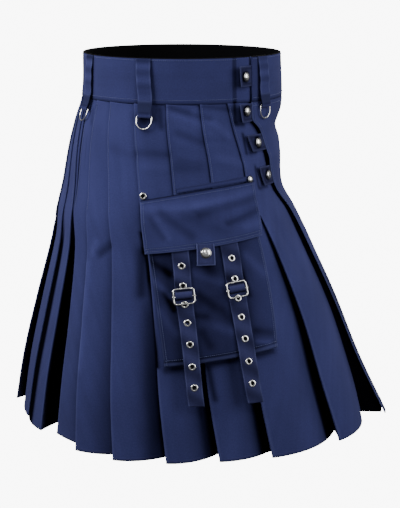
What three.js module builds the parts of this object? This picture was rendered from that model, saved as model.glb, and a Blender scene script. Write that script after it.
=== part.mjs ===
// A pleated utility kilt in cotton twill: two pleated skirt pieces, a front apron, a waistband
// that laps over itself, belt loops with D rings, a closure with four snap tabs, and one cargo
// pocket with flap, straps and buckles. Millimetres, +Z up, the front faces -Y and the wearer's
// right is -X. The origin is the centre of the waist rim.
//
// A point on the kilt is named by three numbers: its angle round the body in degrees (0 at the
// front centre, 90 at the wearer's right, 180 at the back centre), its height z, and how far it
// stands out from the plan outline at that height.

import * as THREE from 'three';

// Whole garment
const BAND_HEIGHT = 70;
const HEM_Z = -592;
const FELL_Z = -237; // the pleats are stitched down from the band to this height
const SEAM = 0.4; // gap left between pieces at a seam
const CLOTH = 1.2; // one layer of twill with its finish
const LAYER = 2.2; // distance between the middles of neighbouring layers of a pressed pleat
const BAND_WALL = 3.0;
const APRON_WALL = 1.4;
const LAP = 3.4; // how far the apron end of the band stands out over its other end

// Plan outline of the skirt, one row a height: half width side to side, half depth front to back,
// how far the outline sits towards the front, and how far the hanging skirt has turned
const OUTLINE = [
  { z: 0, side: 160, fore: 156.5, ahead: -1, turn: 0 },
  { z: -70, side: 162, fore: 159.5, ahead: -1.2, turn: 0 },
  { z: -110, side: 166.5, fore: 163.5, ahead: -9.5, turn: -3 },
  { z: -150, side: 172.5, fore: 169.5, ahead: -14, turn: -6 },
  { z: -210, side: 184, fore: 176, ahead: -19, turn: -9.5 },
  { z: -250, side: 195, fore: 192, ahead: -13, turn: -11 },
  { z: -300, side: 211, fore: 208, ahead: -4, turn: -11.5 },
  { z: -400, side: 245, fore: 243, ahead: 7, turn: -12 },
  { z: -500, side: 275.5, fore: 274, ahead: 15, turn: -12 },
  { z: -592, side: 300, fore: 303, ahead: 28, turn: -12 },
];

// Knife pleats from the apron to the back centre. Angles of the fold edge at the band, half way
// down the stitching, at its end and at the hem; then, at the hem, how far the fold edge stands
// out, how far in its panel lies where the fold in front covers it, and how far the cloth tucks
// in under the fold. Half way between the stitching and the hem a fold may bow, by the degrees
// named.
const PLEATS_RIGHT = [
  { seam: 86, mid: 80.5, fell: 78.2, hem: 77.4, reach: 1, dip: -30, tuck: 7, bow: -1.5 },
  { seam: 102, mid: 100.2, fell: 101, hem: 102.8, reach: 4, dip: -21, tuck: 7, bow: 0 },
  { seam: 120.5, mid: 120, fell: 121, hem: 118.3, reach: 1.5, dip: -21, tuck: 7, bow: 0 },
  { seam: 139, mid: 138, fell: 138.2, hem: 133.3, reach: 10, dip: -34, tuck: 7, bow: 0 },
  { seam: 155.5, mid: 155.2, fell: 155.2, hem: 148.4, reach: 16, dip: -26, tuck: 7, bow: 0 },
  { seam: 167, mid: 168.5, fell: 169, hem: 162.1, reach: 7, dip: -12, tuck: 6, bow: 0 },
  { seam: 176.8, mid: 177.2, fell: 179, hem: 178.2, reach: -24, dip: -15, tuck: 5, bow: -1.8 },
];
// The left side is cut as a mirror image. Its last three folds hang a little differently.
const PLEATS_LEFT = PLEATS_RIGHT.map((fold) => ({ ...fold }));
Object.assign(PLEATS_LEFT[6], { seam: 176.6, mid: 177.4, hem: 176.3, reach: -10, bow: 0 });
Object.assign(PLEATS_LEFT[5], { hem: 160.2, reach: -13, dip: -9 });
Object.assign(PLEATS_LEFT[4], { hem: 141, fell: 154, reach: 8, dip: -20 });

// Free edge of the apron by height: angle, and how far it stands out
const APRON_EDGE = [
  { z: -70, angle: 70.6, out: 0 },
  { z: -97, angle: 70.6, out: 1 },
  { z: -105, angle: 67.8, out: 1 },
  { z: -118, angle: 64.3, out: 1 },
  { z: -140, angle: 62, out: 1 },
  { z: -172, angle: 59.3, out: 1 },
  { z: -198, angle: 56.8, out: 1 },
  { z: -240, angle: 51.2, out: 2 },
  { z: -322, angle: 49.5, out: 2.5 },
  { z: -450, angle: 48.3, out: 5 },
  { z: -592, angle: 46.6, out: 12 },
];
const UNDERLAP = 15; // degrees of cloth beneath the apron past its free edge
const ROWS = [-70, -88, -112, -150, -185, -212, -238, -290, -350, -430, -510, -592];

// Pocket corners as angle and height
const BAG = {
  topLeft: [137.2, -247], topRight: [83.4, -227],
  lowLeft: [132.2, -451], lowRight: [93.4, -431.5],
};
const FLAP = {
  topLeft: [137.4, -212], topRight: [74.6, -189.6],
  lowLeft: [137.4, -288.8], lowRight: [85.2, -268.5],
};
const FLAP_BOW = 4.5; // the sewn top edge of the flap rises this much in the middle
// Straps of the pocket: where the middle line runs by height, the heights of both ends, widths,
// the height of the buckle, and the heights of the eyelets
const STRAPS = {
  left: {
    run: [
      { z: -268, angle: 122.9 }, { z: -305, angle: 123.4 }, { z: -348, angle: 124 },
      { z: -386, angle: 123.8 }, { z: -448, angle: 123.4 }, { z: -505.5, angle: 123 },
    ],
    start: -268, end: -505.5, wide: 26.5, narrow: 24, buckle: -348.4,
    eyelets: [-305, -333.6, -360, -386.2, -417, -448.6, -478.4],
  },
  right: {
    run: [
      { z: -256, angle: 101.4 }, { z: -296, angle: 102.7 }, { z: -326, angle: 103.7 },
      { z: -354, angle: 104.3 }, { z: -412, angle: 105 }, { z: -504.8, angle: 105.2 },
    ],
    start: -256, end: -504.8, wide: 30.5, narrow: 25, buckle: -341.9,
    eyelets: [-296.6, -326.4, -354.1, -381.4, -412.5, -444.9, -476.6],
  },
};
// Belt loops: angle, height of the ring's bar, and how far the low end leans towards the back, mm
const LOOPS = [
  { angle: 176, bar: -84, lean: 0 }, { angle: 133.5, bar: -87, lean: -5 },
  { angle: 61.3, bar: -76, lean: 0 }, { angle: -61.8, bar: -84, lean: 0 },
  { angle: -133.5, bar: -87, lean: 2 },
];
// Closure tabs: height and angle of the stud, height of the middle, angle of the free end at the
// top, how far that end leans forward at the bottom, the tab's height, and how far the free end
// stands off
const TABS = [
  { stud: [75.9, -29.8], z: -29.3, end: 80.4, lean: 0.7, tall: 31, rise: 8 },
  { stud: [75.3, -82.4], z: -85, end: 80.6, lean: 1.4, tall: 27.5, rise: 8 },
  { stud: [68.4, -132.2], z: -132.5, end: 75.9, lean: 2.4, tall: 25.5, rise: 2.5 },
  { stud: [62.6, -185.1], z: -185.7, end: 70, lean: 2.8, tall: 29, rise: 1.5 },
];
const BUCKLE_HALF_WIDE = 15.6; // to the middle of the wire
const BUCKLE_HALF_TALL = 11.5;
const BUCKLE_WIRE = 1.2;
const BUCKLE_LIFT = 2.9; // middle of the buckle wire over the face of the strap
const BUCKLE_TILT = 0.1; // the straps carry the buckles a little askew

const COLOURS = {
  twill: new THREE.MeshStandardMaterial({ color: 0x2a3660, roughness: 0.9 }),
  steel: new THREE.MeshStandardMaterial({ color: 0xc9ccd1, roughness: 0.25, metalness: 1 }),
};
const kilt = new THREE.Group();
kilt.name = 'kilt';

const rad = (degrees) => degrees * Math.PI / 180;
const clamp = (t) => Math.min(1, Math.max(0, t));
const ease = (t) => clamp(t) * clamp(t) * (3 - 2 * clamp(t));
const mix = (a, b, t) => a + (b - a) * t;

// Smooth reading of one column of a table whose rows go down from the top
function read(table, column, z) {
  const last = table.length - 1;
  if (z >= table[0].z) return table[0][column];
  if (z <= table[last].z) return table[last][column];
  let i = 0;
  while (table[i + 1].z > z) i += 1;
  const slope = (k) => {
    const a = table[Math.max(0, k - 1)];
    const b = table[Math.min(last, k + 1)];
    return (b[column] - a[column]) / (b.z - a.z);
  };
  const step = table[i + 1].z - table[i].z;
  const t = (z - table[i].z) / step;
  const h = (2 * t ** 3 - 3 * t ** 2 + 1) * table[i][column] + (3 * t ** 2 - 2 * t ** 3) * table[i + 1][column];
  return h + (t ** 3 - 2 * t ** 2 + t) * step * slope(i) + (t ** 3 - t ** 2) * step * slope(i + 1);
}

// A point on the kilt from its angle, height and distance outside the plan outline
function skin(angle, z, out = 0) {
  const a = rad(angle + read(OUTLINE, 'turn', z));
  const x = -(read(OUTLINE, 'side', z) + out) * Math.sin(a);
  const y = -(read(OUTLINE, 'fore', z) + out) * Math.cos(a) - read(OUTLINE, 'ahead', z);
  return new THREE.Vector3(x, y, z);
}

// Directions at a point of the skin: along (towards the back on the wearer's right), down, off
function frameAt(angle, z, out = 0) {
  const origin = skin(angle, z, out);
  const along = skin(angle + 0.5, z, out).sub(skin(angle - 0.5, z, out)).normalize();
  const down = skin(angle, z - 2, out).sub(skin(angle, z + 2, out));
  down.addScaledVector(along, -down.dot(along)).normalize();
  const off = new THREE.Vector3().crossVectors(along, down).normalize();
  if (off.dot(skin(angle, z, out + 5).sub(origin)) < 0) off.negate();
  return { origin, along, down, off };
}
const perMm = (z) => 180 / Math.PI / read(OUTLINE, 'side', z);

// A closed body from a list of points and triangles, turned to face outward
function addBody(name, points, faces, material) {
  let volume = 0;
  faces.forEach(([a, b, c]) => {
    volume += points[a].dot(new THREE.Vector3().crossVectors(points[b], points[c]));
  });
  const turned = volume < 0 ? faces.map(([a, b, c]) => [a, c, b]) : faces;
  const geometry = new THREE.BufferGeometry();
  geometry.setAttribute('position', new THREE.Float32BufferAttribute(points.flatMap((p) => p.toArray()), 3));
  geometry.setIndex(turned.flat());
  geometry.computeVertexNormals();
  const mesh = new THREE.Mesh(geometry, material);
  mesh.name = name;
  kilt.add(mesh);
  return mesh;
}

// A sheet of cloth: two grids of points, its outer and its inner face, closed along the edges
function addSheet(name, outer, inner, material = COLOURS.twill) {
  const rows = outer.length;
  const cols = outer[0].length;
  const points = [...outer.flat(), ...inner.flat()];
  const at = (side, r, c) => side * rows * cols + r * cols + c;
  const faces = [];
  const quad = (a, b, c, d) => faces.push([a, b, c], [a, c, d]);
  for (let r = 0; r < rows - 1; r += 1) {
    for (let c = 0; c < cols - 1; c += 1) {
      quad(at(0, r, c), at(0, r + 1, c), at(0, r + 1, c + 1), at(0, r, c + 1));
      quad(at(1, r, c), at(1, r, c + 1), at(1, r + 1, c + 1), at(1, r + 1, c));
    }
    quad(at(0, r, 0), at(1, r, 0), at(1, r + 1, 0), at(0, r + 1, 0));
    quad(at(0, r, cols - 1), at(0, r + 1, cols - 1), at(1, r + 1, cols - 1), at(1, r, cols - 1));
  }
  for (let c = 0; c < cols - 1; c += 1) {
    quad(at(0, 0, c), at(0, 0, c + 1), at(1, 0, c + 1), at(1, 0, c));
    quad(at(0, rows - 1, c), at(1, rows - 1, c), at(1, rows - 1, c + 1), at(0, rows - 1, c + 1));
  }
  return addBody(name, points, faces, material);
}

// A line of plan points moved sideways by a distance, with mitred corners
function sideways(line, distance) {
  return line.map((p, i) => {
    const before = line[Math.max(0, i - 1)];
    const after = line[Math.min(line.length - 1, i + 1)];
    const d1 = new THREE.Vector2(p.x - before.x, p.y - before.y);
    const d2 = new THREE.Vector2(after.x - p.x, after.y - p.y);
    if (i === 0) d1.copy(d2);
    if (i === line.length - 1) d2.copy(d1);
    d1.normalize();
    d2.normalize();
    const n = new THREE.Vector2(d1.y + d2.y, -d1.x - d2.x).normalize();
    const reach = distance / Math.max(0.6, n.x * d1.y - n.y * d1.x);
    return new THREE.Vector3(p.x + n.x * reach, p.y + n.y * reach, p.z);
  });
}

// How far the pleats have opened: 0 while they are stitched down, 1 at the hem
const opening = (z) => clamp((FELL_Z - z) / (FELL_Z - HEM_Z)) ** 0.95;

// Angle of a fold edge by height
function foldAngle(fold, z) {
  const open = opening(z);
  if (z < FELL_Z) {
    return mix(fold.fell, fold.hem, open ** 0.8) + fold.bow * 4 * open * (1 - open);
  }
  const t = (-BAND_HEIGHT - z) / (-BAND_HEIGHT - FELL_Z);
  const m = 80 / 167;
  const bend = (fold.mid - mix(fold.seam, fold.fell, m)) / (m * (1 - m));
  return mix(fold.seam, fold.fell, t) + bend * t * (1 - t);
}

// How far the end of the waistband that comes over, and the apron with it, stand out
const lapOut = (angle) => LAP * ease((angle + 60) / 90);

// How far the face of the apron stands out: it puffs between the snap tabs, where nothing holds
// it, dips in front of the hip, and flares towards the hem at both edges
function apronOut(angle, z) {
  const edge = read(APRON_EDGE, 'angle', z);
  const flare = read(APRON_EDGE, 'out', z);
  const puff = 1.6 * (Math.exp(-(((z + 109) / 7) ** 2)) + Math.exp(-(((z + 158) / 9) ** 2)));
  const dent = 7.5 * Math.exp(-(((z + 114) / (z > -114 ? 11 : 19)) ** 2));
  const u = (edge - angle) / (2 * edge);
  const near = ease(1 - u / 0.22);
  const far = ease(1 - (1 - u) / 0.22);
  return lapOut(angle) + (flare + puff) * near + flare * 0.8 * far
    - dent * Math.exp(-(((angle - 25) / 22) ** 2));
}

// The line the pleated cloth follows at one height, from the underlap to the back centre:
// each panel runs back to its fold edge, turns in under itself, and turns again at the tuck
function pleatLine(folds, z, mirror) {
  const open = opening(z);
  const deep = -2 * LAYER;
  const half = CLOTH / 2;
  const turn = perMm(z) * LAYER / 2;
  const line = [];
  const put = (angle, level) => line.push([angle, level - half]);
  const edge = read(APRON_EDGE, 'angle', z);
  let cover = edge;
  folds.forEach((fold, i) => {
    const angle = foldAngle(fold, z);
    const reach = fold.reach * open;
    const before = folds[i - 1];
    const dip = mix(deep, fold.dip, before ? open : open ** 6);
    if (before) {
      put(cover - mix(before.tuck * 0.9, before.tuck, open), mix(deep, fold.dip - 13, open));
    } else {
      // beneath the apron the cloth keeps close to it, then drops to the first panel
      [UNDERLAP, UNDERLAP / 2, 0.9].forEach((back) => {
        const at = cover - back;
        const close = apronOut(mirror ? -at : at, z) - APRON_WALL - 3;
        put(at, mix(deep, Math.min(close, 8), ease(open * 3)));
      });
    }
    put(cover, dip);
    [0.3, 0.6, 0.88].forEach((t) => {
      put(mix(cover, angle, t), mix(dip, reach, t) + 1.5 * open * Math.sin(Math.PI * t));
    });
    put(angle - turn, reach);
    put(angle, reach - LAYER / 2);
    put(angle - turn, reach - LAYER);
    const next = folds[i + 1];
    const under = mix(fold.tuck * 0.9, fold.tuck, open);
    const deeper = mix(deep, (next ? next.dip - 13 : -50), open);
    put(angle - under * 0.5, mix(reach - LAYER, deeper + LAYER, 0.5));
    put(angle - under, deeper + LAYER);
    put(angle - under - turn, deeper + LAYER / 2);
    cover = angle;
    if (!next) {
      put(angle - under, deeper);
      put(mix(angle - under, 179.85, 0.5), mix(deep, -48, open));
      put(179.85, mix(deep, -46, open));
    }
  });
  return line;
}

function addPleats(name, folds, mirror) {
  const outer = [];
  const inner = [];
  ROWS.forEach((z, i) => {
    const height = i === 0 ? z - SEAM : z;
    const line = pleatLine(folds, height, mirror).map(([angle, level]) => skin(mirror ? -angle : angle, height, level));
    outer.push(sideways(line, CLOTH / 2));
    inner.push(sideways(line, -CLOTH / 2));
  });
  addSheet(name, outer, inner);
}
addPleats('pleats_right', PLEATS_RIGHT, false);
addPleats('pleats_left', PLEATS_LEFT, true);

// Waistband: runs from beneath the apron end, round the back, and laps over itself in front
function bandOut(angle) {
  return angle < 290 ? 0 : lapOut(angle - 360);
}
{
  const outer = [];
  const inner = [];
  [0, -BAND_HEIGHT / 2, -BAND_HEIGHT].forEach((z) => {
    const angles = Array.from({ length: 76 }, (_, i) => 55.6 + 5 * i);
    outer.push(angles.map((angle) => skin(angle, z, bandOut(angle))));
    inner.push(angles.map((angle) => skin(angle, z, bandOut(angle) - BAND_WALL)));
  });
  addSheet('waistband', outer, inner);
}

// Front apron: plain panel from its free edge on the wearer's right to its sewn edge on the left
{
  const outer = [];
  const inner = [];
  const columns = 22;
  [
    -70, -85, -99, -109, -120, -133, -146, -158, -171, -186, -200, -217, -240, -285, -340, -400,
    -465, -530, -592,
  ].forEach((z, i) => {
    const height = i === 0 ? z - SEAM : z;
    const edge = read(APRON_EDGE, 'angle', z);
    const rowOuter = [];
    const rowInner = [];
    for (let c = 0; c <= columns; c += 1) {
      const angle = mix(edge, -edge, c / columns);
      const out = apronOut(angle, z);
      rowOuter.push(skin(angle, height, out));
      rowInner.push(skin(angle, height, out - APRON_WALL));
    }
    outer.push(rowOuter);
    inner.push(rowInner);
  });
  addSheet('front_apron', outer, inner);
}

// A strip bent to a side profile: path points are height and distance out, width across.
// It is kept in one upright plane, so it does not follow the turn of the hanging skirt.
function addStrip(name, angle, path, base, thick, level, shift) {
  const { origin, along } = frameAt(angle, level);
  const at = (z, out) => {
    const p = skin(angle, z, out + base);
    return p.addScaledVector(along, origin.dot(along) - p.dot(along) + shift(z));
  };
  const grids = [thick / 2, -thick / 2].map((side) => path.map(([z, out, wide], i) => {
    const a = path[Math.max(0, i - 1)];
    const b = path[Math.min(path.length - 1, i + 1)];
    const n = new THREE.Vector2(a[0] - b[0], b[1] - a[1]).normalize();
    const p = at(z + n.y * side, out + n.x * side);
    return [-0.5, 0.5].map((u) => p.clone().addScaledVector(along, u * wide));
  }));
  addSheet(name, grids[0], grids[1]);
}

// Closed bent wire: a loop of points in a plane, a round section swept along it
function wireLoop(points, normal, radius, sides = 6) {
  const count = points.length;
  const list = [];
  const faces = [];
  points.forEach((p, i) => {
    const before = points[(i + count - 1) % count];
    const after = points[(i + 1) % count];
    const d1 = p.clone().sub(before).normalize();
    const d2 = after.clone().sub(p).normalize();
    const travel = d1.clone().add(d2).normalize();
    const across = new THREE.Vector3().crossVectors(normal, travel).normalize();
    const miter = 1 / Math.max(0.7, travel.dot(d1));
    for (let k = 0; k < sides; k += 1) {
      const a = (k + 0.5) / sides * 2 * Math.PI;
      const q = p.clone().addScaledVector(across, radius * miter * Math.cos(a));
      list.push(q.addScaledVector(normal, radius * Math.sin(a)));
    }
    for (let k = 0; k < sides; k += 1) {
      const a = i * sides + k;
      const b = i * sides + (k + 1) % sides;
      const c = ((i + 1) % count) * sides + (k + 1) % sides;
      const d = ((i + 1) % count) * sides + k;
      faces.push([a, b, c], [a, c, d]);
    }
  });
  return { list, faces };
}

// Belt loops with their D rings. The strip bows off the band, then folds back up round the ring.
const LOOP_WIDE = 24.4;
const LOOP_NARROW = 21.8;
const LOOP_WALL = 1.4;
const RING_WIRE = 1.0;
const RING_HALF = 12.3; // half the distance between the middles of the ring's sides
const RING_DROP = 20;
const BAR_OUT = 3.8;
LOOPS.forEach((loop, i) => {
  const base = bandOut(loop.angle < 72 ? loop.angle + 360 : loop.angle);
  const bend = RING_WIRE + 0.75 + LOOP_WALL / 2;
  const low = loop.bar;
  const path = [
    [-1, 1.1, LOOP_WIDE], [-8, 1.3, LOOP_WIDE], [low * 0.26, 3.3, LOOP_WIDE],
    [low * 0.48, 3.7, LOOP_WIDE], [low * 0.7, 3.9, LOOP_WIDE], [low + 12, 4.9, LOOP_WIDE],
    [low + 8, 5.4, LOOP_NARROW],
  ];
  [0, 36, 72, 108, 144, 180].forEach((turn) => {
    path.push([low - bend * Math.sin(rad(turn)), BAR_OUT + bend * Math.cos(rad(turn)), LOOP_NARROW]);
  });
  path.push([low + 6, BAR_OUT - bend, LOOP_NARROW]);
  const shift = (z) => loop.lean * ease((-z - 10) / (-low - 18));
  addStrip(`belt_loop_${i + 1}`, loop.angle, path, base, LOOP_WALL, -BAND_HEIGHT / 2, shift);

  const { origin, along } = frameAt(loop.angle, -BAND_HEIGHT / 2);
  const onPlane = (z, out) => {
    const p = skin(loop.angle, z, out + base);
    return p.addScaledVector(along, origin.dot(along) - p.dot(along) + loop.lean);
  };
  const top = onPlane(low, BAR_OUT);
  const down = onPlane(low - RING_DROP, BAR_OUT + 0.6).sub(top).normalize();
  const normal = new THREE.Vector3().crossVectors(along, down).normalize();
  const outline = [[-6, 0], [6, 0], [RING_HALF - 1.6, 0], [RING_HALF, 1.6], [RING_HALF, RING_DROP - RING_HALF]];
  for (let k = 1; k <= 9; k += 1) {
    const a = rad(18 * k);
    outline.push([RING_HALF * Math.cos(a), RING_DROP - RING_HALF + RING_HALF * Math.sin(a)]);
  }
  outline.push([-RING_HALF, RING_DROP - RING_HALF], [-RING_HALF, 1.6], [-RING_HALF + 1.6, 0]);
  const ring = outline.map(([u, w]) => top.clone().addScaledVector(along, u).addScaledVector(down, w));
  const wire = wireLoop(ring, normal, RING_WIRE);
  addBody(`d_ring_${i + 1}`, wire.list, wire.faces, COLOURS.steel);
});

// A turned piece (stud, eyelet) set on a sheet: profile points are radius and height
function addTurned(name, profile, frame, sides = 12) {
  const closed = [...profile, profile[0]].map(([r, h]) => new THREE.Vector2(Math.max(r, 0), h));
  const geometry = new THREE.LatheGeometry(closed, sides);
  const mesh = new THREE.Mesh(geometry, COLOURS.steel);
  mesh.name = name;
  const place = new THREE.Matrix4().makeBasis(frame.along, frame.off, new THREE.Vector3().crossVectors(frame.along, frame.off));
  place.setPosition(frame.origin);
  geometry.applyMatrix4(place);
  kilt.add(mesh);
}
const dome = (radius, height) => [
  [0, 0], [radius * 0.86, 0], [radius, height * 0.25], [radius * 0.93, height * 0.6],
  [radius * 0.55, height * 0.92], [0, height],
];

// Closure tabs: from the free edge of the apron over the pleats, with a press stud on each
TABS.forEach((tab, i) => {
  const lift = (t) => mix(2.2, 1.5 + tab.rise, t);
  const outer = [];
  const inner = [];
  for (let r = 0; r <= 4; r += 1) {
    const z = tab.z + tab.tall * (0.5 - r / 4);
    const first = read(APRON_EDGE, 'angle', z) + 0.2;
    const last = tab.end - tab.lean * r / 4;
    const at = (t, out) => skin(mix(first, last, t), z, lift(t) + out);
    const steps = [0, 0.25, 0.5, 0.75, 1];
    outer.push(steps.map((t) => at(t, 1.4)));
    inner.push(steps.map((t) => at(t, 0)));
  }
  addSheet(`closure_tab_${i + 1}`, outer, inner);
  const share = (tab.stud[0] - read(APRON_EDGE, 'angle', tab.stud[1])) / (tab.end - read(APRON_EDGE, 'angle', tab.z));
  const seat = frameAt(tab.stud[0], tab.stud[1], lift(share) + 2.4);
  const tip = Math.atan2(tab.rise - 0.7, (tab.end - read(APRON_EDGE, 'angle', tab.z)) / perMm(tab.z));
  const off = seat.off.clone().multiplyScalar(Math.cos(tip)).addScaledVector(seat.along, -Math.sin(tip));
  seat.along.multiplyScalar(Math.cos(tip)).addScaledVector(seat.off, Math.sin(tip));
  seat.off = off;
  addTurned(`tab_snap_${i + 1}`, dome(7, 3.2), seat, 14);
});

// Pocket: a flat pouch whose front and back are joined at the sides and bottom, open at the top
const bagBack = (z) => 1.9 + 10.5 * opening(z);
const corner = (shape, u, v) => [0, 1].map((k) => mix(
  mix(shape.topLeft[k], shape.topRight[k], u),
  mix(shape.lowLeft[k], shape.lowRight[k], u),
  v,
));
const bagFull = (u, v) => mix(3.2, 5.2, (Math.sin(Math.PI * clamp(u)) ** 0.5) * (1 - v ** 4));
{
  const across = 12;
  const rows = 8;
  const wall = 1.15;
  const points = [];
  const faces = [];
  const ring = (v, inset) => {
    const list = [];
    for (let c = 0; c <= across; c += 1) {
      const u = mix(inset * 0.007, 1 - inset * 0.007, c / across);
      const [angle, z] = corner(BAG, u, v);
      list.push(skin(angle, z, bagBack(z) + bagFull(u, v) - inset));
    }
    for (let c = across; c >= 0; c -= 1) {
      const u = mix(inset * 0.007, 1 - inset * 0.007, c / across);
      const [angle, z] = corner(BAG, u, v);
      list.push(skin(angle, z, bagBack(z) + inset));
    }
    return list;
  };
  const around = 2 * (across + 1);
  for (let r = 0; r <= rows; r += 1) points.push(...ring(r / rows, 0));
  for (let r = rows; r >= 0; r -= 1) points.push(...ring(r / rows * (1 - wall / 225), wall));
  const levels = 2 * rows + 2;
  for (let r = 0; r < levels - 1; r += 1) {
    if (r !== rows) {
      for (let c = 0; c < around; c += 1) {
        const a = r * around + c;
        const b = r * around + (c + 1) % around;
        faces.push([a, b, b + around], [a, b + around, a + around]);
      }
    }
  }
  for (let c = 0; c < around; c += 1) {
    const a = c;
    const b = (c + 1) % around;
    const top = (levels - 1) * around;
    faces.push([b, a, top + a], [b, top + a, top + b]);
  }
  [rows * around, (rows + 1) * around].forEach((base, k) => {
    for (let c = 0; c < across; c += 1) {
      const a = base + c;
      const b = base + c + 1;
      const d = base + around - 1 - c;
      const e = d - 1;
      if (k === 0) faces.push([a, b, e], [a, e, d]);
      else faces.push([b, a, e], [e, a, d]);
    }
  });
  addBody('pocket_bag', points, faces, COLOURS.twill);
}

// Flap: double cloth from its sewn top edge over the pouch and the straps
const FLAP_WALL = 2.0;
{
  const outer = [];
  const inner = [];
  for (let r = 0; r <= 6; r += 1) {
    const v = r / 6;
    const rowOuter = [];
    const rowInner = [];
    for (let c = 0; c <= 14; c += 1) {
      const [angle, straight] = corner(FLAP, c / 14, v);
      const z = straight + FLAP_BOW * (1 - v) * Math.sin(Math.PI * c / 14);
      const out = mix(1.2, bagBack(z) + 5.2 + 2.6, ease(v * 2.2));
      rowOuter.push(skin(angle, z, out + FLAP_WALL));
      rowInner.push(skin(angle, z, out));
    }
    outer.push(rowOuter);
    inner.push(rowInner);
  }
  addSheet('pocket_flap', outer, inner);
}
const flapOut = (z) => bagBack(z) + 5.2 + 2.6 + FLAP_WALL;

// Flap tab with its stud
{
  const outer = [];
  const inner = [];
  [-273, -280, -288, -296, -304].forEach((z) => {
    const wide = [3.6, 1.8, 0, -1.8, -3.6].map((angle) => angle + 112.2 - (z + 273) * 0.055);
    const out = flapOut(z) + 0.5;
    outer.push(wide.map((angle) => skin(angle, z, out + 1.4)));
    inner.push(wide.map((angle) => skin(angle, z, out)));
  });
  addSheet('flap_tab', outer, inner);
  addTurned('flap_snap', dome(8.2, 3.6), frameAt(113, -286, flapOut(-286) + 2.3), 16);
}

// Studs at the upper corners of the pocket
addTurned('pocket_rivet_left', dome(4.6, 2.4), frameAt(135.8, -205.5, 0.7));
addTurned('pocket_rivet_right', dome(5.2, 2.6), frameAt(77.8, -186.6, 4));

// Straps, their eyelets, buckles and the short loops over the buckle bars
const strapOut = (z) => bagBack(z) + 5.2 + 0.5;
Object.entries(STRAPS).forEach(([side, strap]) => {
  const centre = (z) => read(strap.run, 'angle', z);
  const outer = [];
  const inner = [];
  const rows = 12;
  for (let r = 0; r <= rows; r += 1) {
    const z = mix(strap.start, strap.end, r / rows);
    const half = mix(strap.wide, strap.narrow, r / rows) / 2;
    const angles = [-1, -0.4, 0.4, 1].map((k) => centre(z) - k * half * perMm(z));
    outer.push(angles.map((angle) => skin(angle, z, strapOut(z) + 1.4)));
    inner.push(angles.map((angle) => skin(angle, z, strapOut(z))));
  }
  addSheet(`strap_${side}`, outer, inner);

  const washer = [[2, 0], [5, 0], [5.7, 0.35], [5, 0.9], [2.6, 0.9]];
  strap.eyelets.forEach((z, k) => {
    addTurned(`eyelet_${side}_${k + 1}`, washer, frameAt(centre(z), z, strapOut(z) + 1.8), 10);
  });

  const at = frameAt(centre(strap.buckle), strap.buckle, strapOut(strap.buckle) + 1.4);
  const across = at.along.clone().multiplyScalar(Math.cos(BUCKLE_TILT)).addScaledVector(at.down, Math.sin(BUCKLE_TILT));
  const down = at.down.clone().addScaledVector(across, -at.down.dot(across)).normalize();
  const middle = at.origin.clone().addScaledVector(at.off, BUCKLE_LIFT);
  const place = (u, w, h = 0) => middle.clone().addScaledVector(across, u)
    .addScaledVector(down, w).addScaledVector(at.off, h);
  const frame = [];
  [[1, 1], [-1, 1], [-1, -1], [1, -1]].forEach(([sx, sy], q) => {
    [0, 30, 60, 90].forEach((a) => {
      const turn = rad(90 * q + a);
      frame.push(place(sx * (BUCKLE_HALF_WIDE - 4.5) + 4.5 * Math.cos(turn), sy * (BUCKLE_HALF_TALL - 4.5) + 4.5 * Math.sin(turn)));
    });
  });
  const wire = wireLoop(frame, at.off, BUCKLE_WIRE);
  addBody(`buckle_${side}`, wire.list, wire.faces, COLOURS.steel);

  const reach = BUCKLE_HALF_WIDE - BUCKLE_WIRE - 0.3;
  const bar = new THREE.CylinderGeometry(BUCKLE_WIRE, BUCKLE_WIRE, 2 * reach, 8);
  bar.applyMatrix4(new THREE.Matrix4().makeBasis(down, across, down.clone().cross(across)).setPosition(middle));
  const barMesh = new THREE.Mesh(bar, COLOURS.steel);
  barMesh.name = `buckle_bar_${side}`;
  kilt.add(barMesh);

  const roll = [[-6.9, -2.2], [-6, 0.4], [-3.8, 2], [0, 2.4], [3, 1.4], [4.6, -2.2]];
  const grid = [0.6, -0.6].map((thick) => roll.map(([w, h], k) => {
    const a = roll[Math.max(0, k - 1)];
    const b = roll[Math.min(roll.length - 1, k + 1)];
    const n = new THREE.Vector2(a[1] - b[1], b[0] - a[0]).normalize();
    return [-12.6, -5, 5, 12.6].map((u) => place(u, w + n.x * thick, h + n.y * thick));
  }));
  addSheet(`buckle_loop_${side}`, grid[0], grid[1]);
});

export default kilt;
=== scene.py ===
# %% [markdown]
# A pleated utility kilt in navy cotton twill, hung as if worn. The solids of the part come in as
# a fixed frame, and each piece of cloth and metal is then made again over its own solid, with
# the folds, the stitching and the weave that the real one shows. Everything is in metres in the
# file, but the kilt's own sizes are written in millimetres, as a maker would write them.

import bpy
import numpy as np
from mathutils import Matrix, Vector


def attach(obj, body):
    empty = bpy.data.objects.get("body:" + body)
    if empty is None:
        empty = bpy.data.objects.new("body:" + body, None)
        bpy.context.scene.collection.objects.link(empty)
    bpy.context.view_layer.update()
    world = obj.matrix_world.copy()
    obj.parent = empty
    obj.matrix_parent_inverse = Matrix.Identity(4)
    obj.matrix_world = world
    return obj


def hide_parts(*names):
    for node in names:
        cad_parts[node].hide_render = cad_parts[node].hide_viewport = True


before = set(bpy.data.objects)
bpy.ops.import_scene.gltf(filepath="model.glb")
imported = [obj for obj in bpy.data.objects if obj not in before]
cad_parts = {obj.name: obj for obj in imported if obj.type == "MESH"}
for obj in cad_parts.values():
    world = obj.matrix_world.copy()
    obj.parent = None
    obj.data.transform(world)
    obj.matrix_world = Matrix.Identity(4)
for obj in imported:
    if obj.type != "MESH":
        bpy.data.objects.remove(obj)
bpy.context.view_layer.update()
print("solids in the frame:", len(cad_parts))

# %% [markdown]
# The camera stands to the wearer's right and a little behind, 175 mm above the waist rim, and
# looks slightly down. Its place was worked out from the curves of the waist rim and the hem.

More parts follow.
